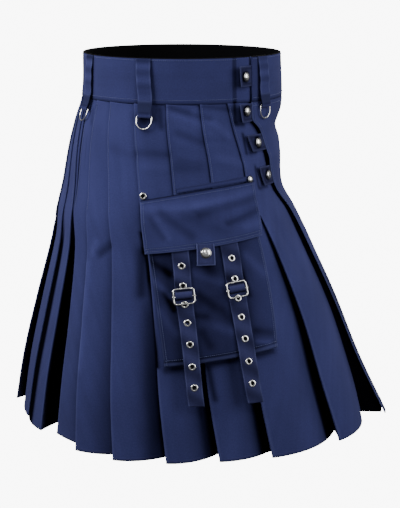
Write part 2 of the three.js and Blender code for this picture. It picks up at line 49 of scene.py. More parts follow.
# %% Camera
MM = 0.001
FILM = 36.0  # height of the film, mm
PICTURE_WIDE, PICTURE_TALL = 400, 508
FOCAL = 1484.3  # focal length in dots of the picture
VIEW_TURN = np.radians(-113.0)
VIEW_BACK = np.array([np.sin(VIEW_TURN), -np.cos(VIEW_TURN)])
VIEW_RIGHT = np.array([np.cos(VIEW_TURN), np.sin(VIEW_TURN)])


def stand(back, right, up):
    """A place given by how far it is towards the camera, to its right, and above the waist rim."""
    x, y = back * VIEW_BACK + right * VIEW_RIGHT
    return (x * MM, y * MM, up * MM)


def aim(thing, target):
    """Turns a camera or lamp so that it looks from where it stands at the target."""
    thing.rotation_euler = (Vector(target) - thing.location).to_track_quat("-Z", "Y").to_euler()


lens = bpy.data.cameras.new("camera")
lens.sensor_fit = "VERTICAL"
lens.sensor_height = FILM
lens.sensor_width = FILM * PICTURE_WIDE / PICTURE_TALL
lens.lens = FILM * FOCAL / PICTURE_TALL
lens.clip_start, lens.clip_end = 0.1, 200.0
camera = bpy.data.objects.new("camera", lens)
bpy.context.scene.collection.objects.link(camera)
camera.location = stand(2400, 30, 175)
aim(camera, stand(0, 30, -334))
bpy.context.scene.camera = camera
print("camera at", [round(v, 3) for v in camera.location])

# %% [markdown]
# Cloth shows its folds by soft light from one side. A wide lamp at the upper left gives the pale
# fronts of the pleats, and a weaker one at the right opens the shadows. One behind lights the far
# side, and a small one by the camera puts glints on the metal.


# %% Lamps
def lamp(name, place, target, size, watts):
    """A square soft lamp, its side in metres, at a place and looking at a target."""
    data = bpy.data.lights.new(name, "AREA")
    data.size = size
    data.energy = watts
    thing = bpy.data.objects.new(name, data)
    bpy.context.scene.collection.objects.link(thing)
    thing.location = place
    aim(thing, target)


MIDDLE = stand(0, 0, -300)
lamp("key_lamp", stand(700, -1600, 800), stand(0, -30, -230), 1.1, 52)
lamp("fill_lamp", stand(800, 1900, 450), MIDDLE, 1.6, 42)
lamp("back_lamp", stand(-2200, 300, 1500), MIDDLE, 2.0, 50)
lamp("glint_lamp", stand(2100, 250, 1250), MIDDLE, 0.35, 9)

# %% [markdown]
# Materials are small node graphs. One function adds a node with its settings and links, and one
# turns the hex colour of a paint or cloth card into the linear numbers that Blender works in.


# %% Helpers for materials
def linear(hex_colour):
    """sRGB hex to linear RGBA, by the sRGB curve."""
    c = np.array([int(hex_colour[i : i + 2], 16) for i in (1, 3, 5)]) / 255
    c = np.where(c <= 0.04045, c / 12.92, ((c + 0.055) / 1.055) ** 2.4)
    return (*c, 1.0)


def node(tree, kind, settings=None, **links):
    """Adds one node. Settings are its properties; links give a value or another node's socket."""
    made = tree.nodes.new(kind)
    for key, value in (settings or {}).items():
        setattr(made, key, value)
    for key, value in links.items():
        socket = made.inputs[int(key[1:]) if key[1:].isdigit() else key.replace("_", " ")]
        if isinstance(value, bpy.types.NodeSocket):
            tree.links.new(value, socket)
        else:
            socket.default_value = value
    return made


def noise(tree, vector, scale, detail):
    """Cloudy noise from 0 to 1 at the places that a socket gives."""
    return node(tree, "ShaderNodeTexNoise", Vector=vector, Scale=scale, Detail=detail).outputs["Fac"]


def painted(tree, name):
    """A number painted on the mesh: pale edges of wear and painted highlight, or the painted shade named
    deep.
    """
    return node(tree, "ShaderNodeAttribute", {"attribute_name": name}).outputs["Fac"]


def blend(tree, share, low, high, kind="MIX"):
    """Colour low turned into high by a share, in one of Blender's ways of mixing."""
    settings = {"data_type": "RGBA", "blend_type": kind}
    return node(tree, "ShaderNodeMix", settings, _0=share, _6=low, _7=high).outputs[2]


def spread(tree, value, low, high):
    """A number from 0 to 1 made into one from low to high."""
    return node(tree, "ShaderNodeMapRange", Value=value, _3=low, _4=high).outputs["Result"]


def surface(tree, shader, **links):
    """Sets or links the inputs of a material's surface shader."""
    for key, value in links.items():
        socket = shader.inputs[key.replace("_", " ")]
        if isinstance(value, bpy.types.NodeSocket):
            tree.links.new(value, socket)
        else:
            socket.default_value = value


def new_material(name):
    """An empty material with its tree and its surface shader."""
    made = bpy.data.materials.new(name)
    made.use_nodes = True
    return made, made.node_tree, made.node_tree.nodes["Principled BSDF"]


# %% [markdown]
# The sky lights the kilt evenly, brighter from above than from below. The camera sees a white
# backdrop instead of it.

# %% White sky
BACKDROP = 11.0
SKY_LOW, SKY_HIGH = 0.09, 0.52
world = bpy.data.worlds.new("studio")
world.use_nodes = True
sky = world.node_tree
way = node(sky, "ShaderNodeTexCoord")
parts = node(sky, "ShaderNodeSeparateXYZ", _0=way.outputs["Generated"])
slope = node(sky, "ShaderNodeMapRange", Value=parts.outputs["Z"], From_Min=-0.6,
             To_Min=SKY_LOW, To_Max=SKY_HIGH)
even = sky.nodes["Background"]
even.inputs["Color"].default_value = (1, 1, 1, 1)
sky.links.new(slope.outputs["Result"], even.inputs["Strength"])
backdrop = node(sky, "ShaderNodeBackground", Strength=BACKDROP)
ray = node(sky, "ShaderNodeLightPath")
either = node(sky, "ShaderNodeMixShader", _0=ray.outputs["Is Camera Ray"], _1=even.outputs[0],
              _2=backdrop.outputs[0])
sky.links.new(either.outputs[0], sky.nodes["World Output"].inputs["Surface"])
bpy.context.scene.world = world

# %% [markdown]
# Cotton twill is woven so that each weft thread steps over by one, which gives fine slanting
# ribs. It is matt, with a faint bloom of fibre ends, and dyed navy. Two numbers are painted on
# the cloth at each point. One makes pressed edges paler, partly as wear and partly as a painted
# highlight. Deep is painted shade: it darkens the insides of folds and creases, and dulls them,
# because soft light alone leaves them too pale. The ribs of the real cloth are 0.6 mm apart, too
# fine for a picture in which a dot is 1.5 mm wide, so they are drawn 1.6 mm apart.

# %% Navy cotton twill
RIB = 1.6 * MM
RIB_SLANT = 27  # degrees from the length of the cloth


def twill(name, card):
    """Woven cotton: slanting ribs by a wave in the cloth's own UV, slub, soft clouding, edges paler by wear
    and a painted highlight, and painted shade.
    """
    made, tree, shader = new_material(name)
    flat = node(tree, "ShaderNodeUVMap", {"uv_map": "cloth"}).outputs["UV"]
    place = node(tree, "ShaderNodeTexCoord").outputs["Object"]
    slant = node(tree, "ShaderNodeMapping", Vector=flat, Rotation=(0, 0, np.radians(RIB_SLANT)))
    ribs = node(tree, "ShaderNodeTexWave", {"wave_type": "BANDS", "bands_direction": "X"},
                Vector=slant.outputs["Vector"], Scale=0.314 / RIB, Distortion=0.6, Detail=1.0)
    ribs = ribs.outputs["Fac"]
    slub = noise(tree, flat, 420.0, 2.0)
    cloud = noise(tree, place, 14.0, 3.0)
    long_way = node(tree, "ShaderNodeMapping", Vector=flat, Scale=(60.0, 5.0, 1.0))
    streak = noise(tree, long_way.outputs["Vector"], 1.0, 2.0)
    dye = linear(card)[:3]
    soft = blend(tree, cloud, (*(0.80 * v for v in dye), 1.0), (*(1.22 * v for v in dye), 1.0))
    worn = blend(tree, 0.13, soft, streak, "OVERLAY")
    grain = blend(tree, 0.22, worn, slub, "OVERLAY")
    lines = blend(tree, 0.16, grain, ribs, "MULTIPLY")
    # Pressed edges paler, partly as wear and partly as a painted highlight
    rubbed_and_highlit = blend(tree, painted(tree, "rub_and_highlight"), lines, linear("#666da0"))
    deep = painted(tree, "deep")
    relief = node(tree, "ShaderNodeMix", {"data_type": "FLOAT"}, _0=0.45, _2=ribs, _3=slub)
    bump = node(tree, "ShaderNodeBump", Strength=0.35, Distance=0.0003, Height=relief.outputs[0])
    # Painted shade darkens the colour and takes away the shine
    surface(tree, shader, Base_Color=blend(tree, deep, rubbed_and_highlit, linear("#04040a")),
            Normal=bump.outputs["Normal"], Roughness=0.92, Specular_IOR_Level=spread(tree, deep, 0.10, 0.0),
            Sheen_Weight=spread(tree, deep, 0.03, 0.0), Sheen_Roughness=0.5)
    return made


NAVY = twill("navy_cotton_twill", "#343765")
STRAP_NAVY = twill("navy_strap_twill", "#2c2e53")

# %% [markdown]
# The inside of the kilt lies in its own shade, so it is drawn near black as painted shade. The
# thread is polyester core-spun, a shade paler than the cloth and a little shiny.

# %% Painted black shade for the inside, and sewing thread
SHADE_BLACK, tree, shader = new_material("painted_shade_black")
flat = node(tree, "ShaderNodeUVMap", {"uv_map": "cloth"}).outputs["UV"]
tone = blend(tree, noise(tree, flat, 500.0, 2.0), linear("#020203"), linear("#08080b"))
surface(tree, shader, Base_Color=tone, Roughness=0.95, Specular_IOR_Level=0.05)

THREAD, tree, shader = new_material("navy_polyester_thread")
place = node(tree, "ShaderNodeTexCoord").outputs["Object"]
tone = blend(tree, noise(tree, place, 900.0, 1.0), linear("#30375c"), linear("#565f8c"))
surface(tree, shader, Base_Color=tone, Roughness=0.55)

# %% [markdown]
# The hardware is steel or brass plated with bright nickel, tumbled smooth before plating. It
# mirrors the studio, so it needs little more than a low roughness and faint rubbing marks. The
# number named deep paints shade where the grooves are.

# %% Bright nickel plate
NICKEL, tree, shader = new_material("bright_nickel_plate")
place = node(tree, "ShaderNodeTexCoord").outputs["Object"]
marks = noise(tree, place, 260.0, 3.0)
tone = blend(tree, marks, linear("#cbcac8"), linear("#f4f4f4"))
dent = node(tree, "ShaderNodeBump", Strength=0.15, Distance=0.0002, Height=marks)
# Painted shade in the grooves, by the number named deep
surface(tree, shader, Base_Color=blend(tree, painted(tree, "deep"), tone, linear("#1c1b20")),
        Roughness=spread(tree, marks, 0.10, 0.22), Normal=dent.outputs["Normal"], Metallic=1.0)

# %% White paper for the floor
PAPER, tree, shader = new_material("white_floor_paper")
place = node(tree, "ShaderNodeTexCoord").outputs["Object"]
tone = blend(tree, noise(tree, place, 3.0, 2.0), linear("#fbfbfb"), linear("#ffffff"))
surface(tree, shader, Base_Color=tone, Roughness=1.0, Specular_IOR_Level=0.0)

# %% [markdown]
# The kilt's sizes. A point on it is named by its angle round the body (0 at the front centre, 90
# at the wearer's right), its height, and how far it stands out from the plan outline. The
# tables say how the outline grows from the waist to the hem and how the hanging skirt turns.


# %% Sizes and the plan outline
def table(columns, rows):
    """Named columns from rows of numbers, top row first."""
    grid = np.array(rows, float)
    return {name: grid[:, k] for k, name in enumerate(columns.split())}


OUTLINE = table("z side fore ahead turn", [
    (0, 160, 156.5, -1, 0), (-70, 162, 159.5, -1.2, 0), (-110, 166.5, 163.5, -9.5, -3),
    (-150, 172.5, 169.5, -14, -6), (-210, 184, 176, -19, -9.5), (-250, 195, 192, -13, -11),
    (-300, 211, 208, -4, -11.5), (-400, 245, 243, 7, -12), (-500, 275.5, 274, 15, -12),
    (-592, 300, 303, 28, -12)])
APRON_EDGE = table("z angle out", [
    (-70, 70.6, 0), (-97, 70.6, 1), (-105, 67.8, 1), (-118, 64.3, 1), (-140, 62, 1),
    (-172, 59.3, 1), (-198, 56.8, 1), (-240, 51.2, 2), (-322, 49.5, 2.5), (-450, 48.3, 5),
    (-592, 46.6, 12)])
BAND, HEM, FELL = -70.0, -592.0, -237.0
LAYER = 2.2  # from the middle of one layer of a pleat to the next, where it hangs open
LAYER_SEWN = 1.15  # the same where the pleats are stitched down
CLOTH = 1.0  # one layer of twill


def read(source, column, z):
    """A smooth curve through one column by height: cubic, with slopes from the rows either side."""
    z = np.asarray(z, float)
    zs, vs = source["z"], source[column]
    slope = np.gradient(vs, zs)
    slope[1:-1] = (vs[2:] - vs[:-2]) / (zs[2:] - zs[:-2])
    zc = np.clip(z, zs[-1], zs[0])
    i = np.clip(np.searchsorted(-zs, -zc, side="right") - 1, 0, len(zs) - 2)
    step = zs[i + 1] - zs[i]
    t = (zc - zs[i]) / step
    h = (2 * t**3 - 3 * t**2 + 1) * vs[i] + (3 * t**2 - 2 * t**3) * vs[i + 1]
    return h + (t**3 - 2 * t**2 + t) * step * slope[i] + (t**3 - t**2) * step * slope[i + 1]


def skin(angle, z, out=0.0):
    """The point at an angle and height, out from an ellipse whose halves come from the table."""
    angle, z, out = np.broadcast_arrays(np.asarray(angle, float), np.asarray(z, float), out)
    a = np.radians(angle + read(OUTLINE, "turn", z))
    x = -(read(OUTLINE, "side", z) + out) * np.sin(a)
    y = -(read(OUTLINE, "fore", z) + out) * np.cos(a) - read(OUTLINE, "ahead", z)
    return np.stack([x, y, z], -1)


def mix(a, b, t):
    """Straight blend from a to b."""
    return a + (b - a) * t


def ease(t):
    """Soft step from 0 to 1."""
    t = np.clip(t, 0, 1)
    return t * t * (3 - 2 * t)


def bell(x, width, power=2):
    """1 in the middle, falling off at the width: exp(-(x / width) to the power)."""
    return np.exp(-((x / width) ** power))


def opening(z):
    """How far the pleats have opened: 0 where they are stitched, 1 at the hem."""
    return np.clip((FELL - z) / (FELL - HEM), 0, 1) ** 0.95


def per_mm(z):
    """Degrees round the body in one millimetre of cloth."""
    return np.degrees(1 / read(OUTLINE, "side", z))


def unit(v):
    """Vectors cut to length one."""
    return v / np.maximum(np.linalg.norm(v, axis=-1, keepdims=True), 1e-9)


def frame_at(angle, z, out=0.0):
    """At a point of the skin: the point, along (to the back on the right), down, and off."""
    origin = skin(angle, z, out)
    along = unit(skin(angle + 0.5, z, out) - skin(angle - 0.5, z, out))
    down = skin(angle, z - 2, out) - skin(angle, z + 2, out)
    down = unit(down - along * np.sum(down * along, -1, keepdims=True))
    off = np.cross(along, down)
    side = np.sum(off * (skin(angle, z, out + 5) - origin), -1, keepdims=True)
    return origin, along, down, off * np.where(side < 0, -1, 1)


def steps_along(line):
    """Distance from the start of a line to each of its points."""
    return np.concatenate([[0], np.cumsum(np.linalg.norm(np.diff(line, axis=0), axis=-1))])


for name, height in (("waist", 0), ("hem", HEM)):
    print(f"round the {name}, mm:", round(float(steps_along(skin(np.arange(361), height))[-1])))

# %% [markdown]
# Two kinds of surface do for every piece. A sheet is a grid of points with a wall added by
# Solidify; a loft is a closed section carried along a path, for bands, straps and wire. Each
# keeps a UV map in metres of cloth, so the weave has the same size all over.


# %% Helpers for surfaces
def put_mesh(name, points, faces, materials, uv, deep=None, rub_and_highlight=None, face_material=None):
    """Writes arrays of points in mm and faces into a new object, with its paint and UV."""
    mesh = bpy.data.meshes.new(name)
    mesh.vertices.add(len(points))
    mesh.vertices.foreach_set("co", (np.asarray(points) * MM).astype(np.float32).ravel())
    faces = np.asarray(faces, np.int32)
    sizes = np.where(faces[:, 3] < 0, 3, 4) if faces.shape[1] == 4 else np.full(len(faces), 3)
    corners = faces.ravel()[faces.ravel() >= 0]
    mesh.loops.add(len(corners))
    mesh.loops.foreach_set("vertex_index", corners)
    mesh.polygons.add(len(faces))
    mesh.polygons.foreach_set("loop_start", np.concatenate([[0], np.cumsum(sizes)[:-1]]).astype(np.int32))
    mesh.update(calc_edges=True)
    mesh.polygons.foreach_set("use_smooth", np.ones(len(faces), bool))
    layer = mesh.uv_layers.new(name="cloth")
    layer.data.foreach_set("uv", (np.asarray(uv)[corners] * MM).astype(np.float32).ravel())
    for key, values in (("deep", deep), ("rub_and_highlight", rub_and_highlight)):
        held = mesh.attributes.new(key, "FLOAT", "POINT")
        values = np.zeros(len(points)) if values is None else np.asarray(values).ravel()
        held.data.foreach_set("value", values.astype(np.float32))
    for material in materials:
        mesh.materials.append(material)
    if face_material is not None:
        mesh.polygons.foreach_set("material_index", np.asarray(face_material, np.int32))
    mesh.validate()
    made = bpy.data.objects.new(name, mesh)
    bpy.context.scene.collection.objects.link(made)
    return made


def grid_faces(rows, cols, close_rows=False, close_cols=False):
    """Corner numbers of the faces of a grid of points, closed round either way if asked."""
    r = np.arange(rows if close_rows else rows - 1)[:, None]
    c = np.arange(cols if close_cols else cols - 1)[None, :]
    r2, c2 = (r + 1) % rows, (c + 1) % cols
    parts = [r * cols + c, r2 * cols + c, r2 * cols + c2, r * cols + c2]
    return np.stack([np.broadcast_to(p, (len(r), c.shape[1])) for p in parts], -1).reshape(-1, 4)


def arc_uv(grid):
    """Cloth coordinates of a grid: distance along its rows, and down its middle column."""
    across = np.linalg.norm(np.diff(grid, axis=1), axis=-1)
    u = np.concatenate([np.zeros((len(grid), 1)), np.cumsum(across, 1)], 1)
    u -= u[:, grid.shape[1] // 2][:, None]
    v = -steps_along(grid[:, grid.shape[1] // 2])[:, None] + np.zeros_like(u)
    return np.stack([u, v], -1)


def outward(grid, faces, centre=None):
    """Turns the faces so that, on the whole, they look away from the body's axis or a centre."""
    flat = grid.reshape(-1, 3)
    a, b, c = (flat[faces[:, k]] for k in (0, 1, 2))
    normal = np.cross(b - a, c - a)
    away = a - centre if centre is not None else np.stack([a[:, 0], a[:, 1] + 5, 0 * a[:, 0]], -1)
    return faces if np.sum(normal * away) > 0 else faces[:, ::-1]


def signed_volume(points, faces):
    """Six times the volume inside four-cornered faces, less than nothing if they face inward."""
    a, b, c, d = (points[faces[:, k]] for k in range(4))
    return np.sum(a * np.cross(b, c)) + np.sum(a * np.cross(c, d))


def own(made, body="kilt", nodes=()):
    """Says which body a piece moves with and which solids it replaces."""
    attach(made, body)
    if nodes:
        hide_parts(*nodes)


def add_wall(made, wall, offset=-1.0):
    """Gives a sheet its thickness in mm; a second material goes on the inner side."""
    thick = made.modifiers.new("wall", "SOLIDIFY")
    thick.thickness = wall * MM
    thick.offset = offset
    thick.use_even_offset = True
    if len(made.data.materials) > 1:
        thick.material_offset = 1


def sheet(name, grid, wall, materials, offset=-1.0, deep=None, rub_and_highlight=None, nodes=()):
    """A grid of points as one layer of cloth with a wall of that many mm, in place of its solids."""
    faces = outward(grid, grid_faces(*grid.shape[:2]))
    uv = arc_uv(grid).reshape(-1, 2)
    made = put_mesh(name, grid.reshape(-1, 3), faces, materials, uv, deep, rub_and_highlight)
    add_wall(made, wall, offset)
    own(made, nodes=nodes)
    print(name, "points:", len(grid) * grid.shape[1])


def loft(name, sections, materials, body="kilt", nodes=(), caps=True, close=False,
         deep=None, rub_and_highlight=None, inner_from=None):
    """Closed sections (path, round, xyz) joined into a skin, its ends closed with a middle point."""
    rows, cols = sections.shape[:2]
    faces = grid_faces(rows, cols, close_rows=close, close_cols=True)
    points = sections.reshape(-1, 3)
    uv = arc_uv(sections).reshape(-1, 2)
    face_material = None
    if inner_from is not None:
        column = np.arange(len(faces)) % cols
        face_material = (column >= inner_from).astype(int)
    if caps and not close:
        ends = []
        for row, order in ((0, 1), (rows - 1, -1)):
            middle = len(points)
            points = np.vstack([points, sections[row].mean(0)])
            uv = np.vstack([uv, uv[row * cols]])
            ring = row * cols + np.arange(cols)
            after = np.roll(ring, -1)
            tri = np.stack([ring, after, np.full(cols, middle), np.full(cols, -1)], -1)
            ends.append(tri if order > 0 else tri[:, [1, 0, 2, 3]])
        faces = np.vstack([faces, *ends])
        extra = np.zeros(2 * cols, int)
        face_material = None if face_material is None else np.concatenate([face_material, extra])
        if deep is not None:
            deep = np.concatenate([deep.ravel(), [deep[0].mean(), deep[-1].mean()]])
        rub_and_highlight = None if rub_and_highlight is None else np.concatenate([rub_and_highlight.ravel(), [0, 0]])
    quads, tris = faces[faces[:, 3] >= 0], faces[faces[:, 3] < 0]
    volume = signed_volume(points, quads)
    if len(tris):
        volume += np.sum(points[tris[:, 0]] * np.cross(points[tris[:, 1]], points[tris[:, 2]]))
    if volume < 0:
        faces = np.vstack([quads[:, ::-1], tris[:, [1, 0, 2, 3]]])
    made = put_mesh(name, points, faces, materials, uv, deep, rub_and_highlight, face_material)
    own(made, body, nodes)
    print(name, "points:", len(points))


# %% [markdown]
# Knife pleats. Each panel runs back to its pressed fold edge, turns in under itself, and turns
# again where it is tucked, so one long strip of cloth makes the whole side. Down to the fell,
# 167 mm below the band, the layers lie flat and are stitched. Below it they open towards the
# hem. The tables give each fold's angle at four heights. At the hem, reach is how far its edge
# stands out, dip how far in its panel starts, and bow its curve on the way down. Tuck is in
# degrees, and shade is the width in mm of the painted shade that lies beside the fold before.

# %% How far the apron and the lapping end of the band stand out
LAP = 3.4


def lap_out(angle):
    """How far the lapping end stands out over the other end."""
    return LAP * ease((angle + 60) / 90)


def apron_out(angle, z):
    """Face of the apron: lap, plus puffs between the tabs, less a dip at the hip, plus its flare."""
    edge, flare = read(APRON_EDGE, "angle", z), read(APRON_EDGE, "out", z)
    puff = 1.6 * (bell(z + 109, 7) + bell(z + 158, 9))
    dent = 7.5 * bell(z + 114, np.where(z > -114, 11, 19))
    u = (edge - angle) / (2 * edge)
    near, far = ease(1 - u / 0.22), ease(1 - (1 - u) / 0.22)
    out = lap_out(angle) + (flare + puff) * near + flare * 0.8 * far
    return out - dent * bell(angle - 25, 22)


# %% Pleat tables
FOLD_COLUMNS = "seam mid fell hem reach dip tuck bow shade"
FOLDS_RIGHT = [
    (86, 80.5, 78.2, 77.4, 1, -30, 7, -1.5, 13), (102, 100.2, 101, 102.8, 4, -21, 7, 0, 16),
    (120.5, 120, 121, 118.3, 1.5, -21, 7, 0, 15), (139, 138, 138.2, 133.3, 10, -34, 7, 0, 15),
    (155.5, 155.2, 155.2, 148.4, 16, -26, 7, 0, 12), (167, 168.5, 169, 162.1, 7, -12, 6, 0, 5),
    (176.8, 177.2, 179, 178.2, -24, -15, 5, -1.8, 5)]
FOLDS_LEFT = FOLDS_RIGHT[:4] + [
    (155.5, 155.2, 154, 141, 8, -20, 7, 0, 12), (167, 168.5, 169, 160.2, -13, -9, 6, 0, 3),
    (176.6, 177.4, 179, 176.3, -10, -15, 5, 0, 46)]
UNDERLAP = 15.0  # degrees of cloth beneath the apron past its free edge
WIDE_SHADE = 40  # a shade wider than this, in mm, is drawn as a band and not as a soft edge
SEWN_IN = 0.9  # how far the skirt pieces reach up inside the band's wall, mm


def fold_angle(fold, z):
    """Angle of a fold edge: through seam, mid and fell while stitched, then swinging to the hem."""
    t = (BAND - z) / (BAND - FELL)
    m = 80 / 167
    bend = (fold["mid"] - mix(fold["seam"], fold["fell"], m)) / (m * (1 - m))
    upper = mix(fold["seam"], fold["fell"], t) + bend * t * (1 - t)
    lower = mix(fold["fell"], fold["hem"], opening(z) ** 0.8)
    return np.where(z < FELL, lower + fold["bow"] * 4 * opening(z) * (1 - opening(z)), upper)


# %% [markdown]
# Cloth that has been sat in and pressed is never flat. The main creases are put in one by one,
# each a soft trough or ridge between two points, where the real one has them, with similar ones
# on the side that can't be seen.

# %% Creases
CREASE_COLUMNS = "angle_a z_a angle_b z_b width depth"
CREASES_RIGHT = [
    (118, -73, 96, -94, 5, -1.8), (120, -82, 102, -103, 5, 1.3), (106, -76, 88, -120, 6, 1.5),
    (100, -72, 84, -80, 4, -1.3), (115, -115, 103, -128, 7, -1.6), (98, -125, 88, -129, 5, -1.0),
    (116, -147, 104, -153, 6, 1.0), (96, -154, 80, -165, 6, 1.3), (117, -167, 105, -168, 8, -1.2),
    (137, -144, 120, -146, 6, -1.5), (135, -165, 121, -164, 7, 0.9), (152, -139, 139, -149, 7, -1.0),
    (162, -285, 163.5, -300, 7, 1.6), (160, -299, 154.8, -283, 6, -2.4), (165, -316, 164, -390, 6, 0.8),
    (139.5, -300, 140.8, -353, 8, -2.2), (136, -240, 127, -214, 10, -1.6),
    (160, -110, 156, -190, 8, -0.8), (70, -250, 66, -340, 12, -1.2), (88, -330, 84, -480, 16, -1.4)]
CREASES_LEFT = [
    (118, -75, 98, -92, 6, -1.6), (112, -96, 92, -116, 6, 1.3), (116, -118, 100, -126, 8, -1.3),
    (112, -150, 92, -158, 7, 1.1), (136, -146, 122, -143, 7, -1.3), (128, -170, 110, -176, 9, -1.1),
    (150, -268, 140, -240, 9, -2.0), (100, -240, 92, -330, 14, -1.4), (122, -300, 118, -420, 16, -1.5),
    (80, -260, 76, -360, 12, -1.3), (160, -120, 157, -200, 8, -0.7)]
# Painted shade in the creases and under whatever stands off the cloth, as shares of full dark; a row below
# nothing is painted light on a ridge
SHADES_RIGHT = [
    (118, -74, 97, -93, 5, 0.34), (120, -84, 103, -104, 5, -0.20), (105, -82, 88, -118, 7, -0.24),
    (100, -72, 84, -79, 4, 0.34), (114, -114, 103, -127, 7, 0.20), (116, -167, 106, -168, 9, 0.16),
    (137, -144, 121, -146, 6, 0.17), (134, -162, 122, -164, 7, -0.10), (152, -140, 139, -150, 8, 0.12),
    (128, -140, 112, -150, 26, 0.12), (92, -152, 80, -164, 8, -0.17), (98, -106, 92, -112, 10, -0.17),
    (124.2, -76, 123.4, -103, 5, 0.46), (136, -92, 129, -94, 9, 0.53), (133, -100, 132, -106, 9, 0.34),
    (171, -86, 170.4, -104, 4, 0.25), (160, -299, 154.8, -284, 6, 0.40), (162, -285, 163.5, -300, 8, -0.17),
    (165.6, -316, 163.6, -470, 7, -0.17), (140.6, -290, 141, -350, 9, 0.40),
    (138, -388, 136, -560, 12, 0.12),
    (137.4, -222, 139.4, -290, 4, 0.54), (139.6, -262, 134.6, -452, 2.6, 0.96),
    (132, -458, 94, -439, 5, 0.53), (118, -458, 117, -500, 5, 0.54), (76.8, -256, 79.6, -310, 7, -0.14),
    (81.6, -70, 81.8, -100, 3.5, 0.7), (77, -118, 76.6, -148, 3, 0.7), (71, -170, 70.4, -203, 3, 0.62),
    (80, -102, 76, -103, 4, 0.62), (74, -149, 69, -148, 3, 0.54), (69, -204, 62, -204, 3, 0.46)]
SHADES_LEFT = [
    (118, -76, 99, -93, 6, 0.22), (112, -96, 93, -116, 7, -0.16), (115, -118, 101, -126, 8, 0.14),
    (136, -146, 122, -143, 8, 0.14), (150, -266, 141, -242, 8, 0.22), (124.2, -76, 123.4, -103, 5, 0.28),
    (136, -92, 129, -94, 9, 0.36), (61.8, -92, 61.8, -100, 9, 0.28)]


def creases(rows, angle, z, away=1.0):
    """Sum of soft troughs or shades: depth times a bell of the distance to each line, in mm."""
    total = np.zeros(np.broadcast(angle, z).shape)
    scale = np.radians(read(OUTLINE, "side", z))
    for a0, z0, a1, z1, width, depth in rows:
        px, py = (angle - a0) * scale, z - z0 + 0 * angle
        qx, qy = (a1 - a0) * scale, z1 - z0
        t = np.clip((px * qx + py * qy) / (qx**2 + qy**2), 0, 1)
        gap = np.hypot(px - t * qx, py - t * qy)
        total += away * depth * bell(gap, width)
    return total


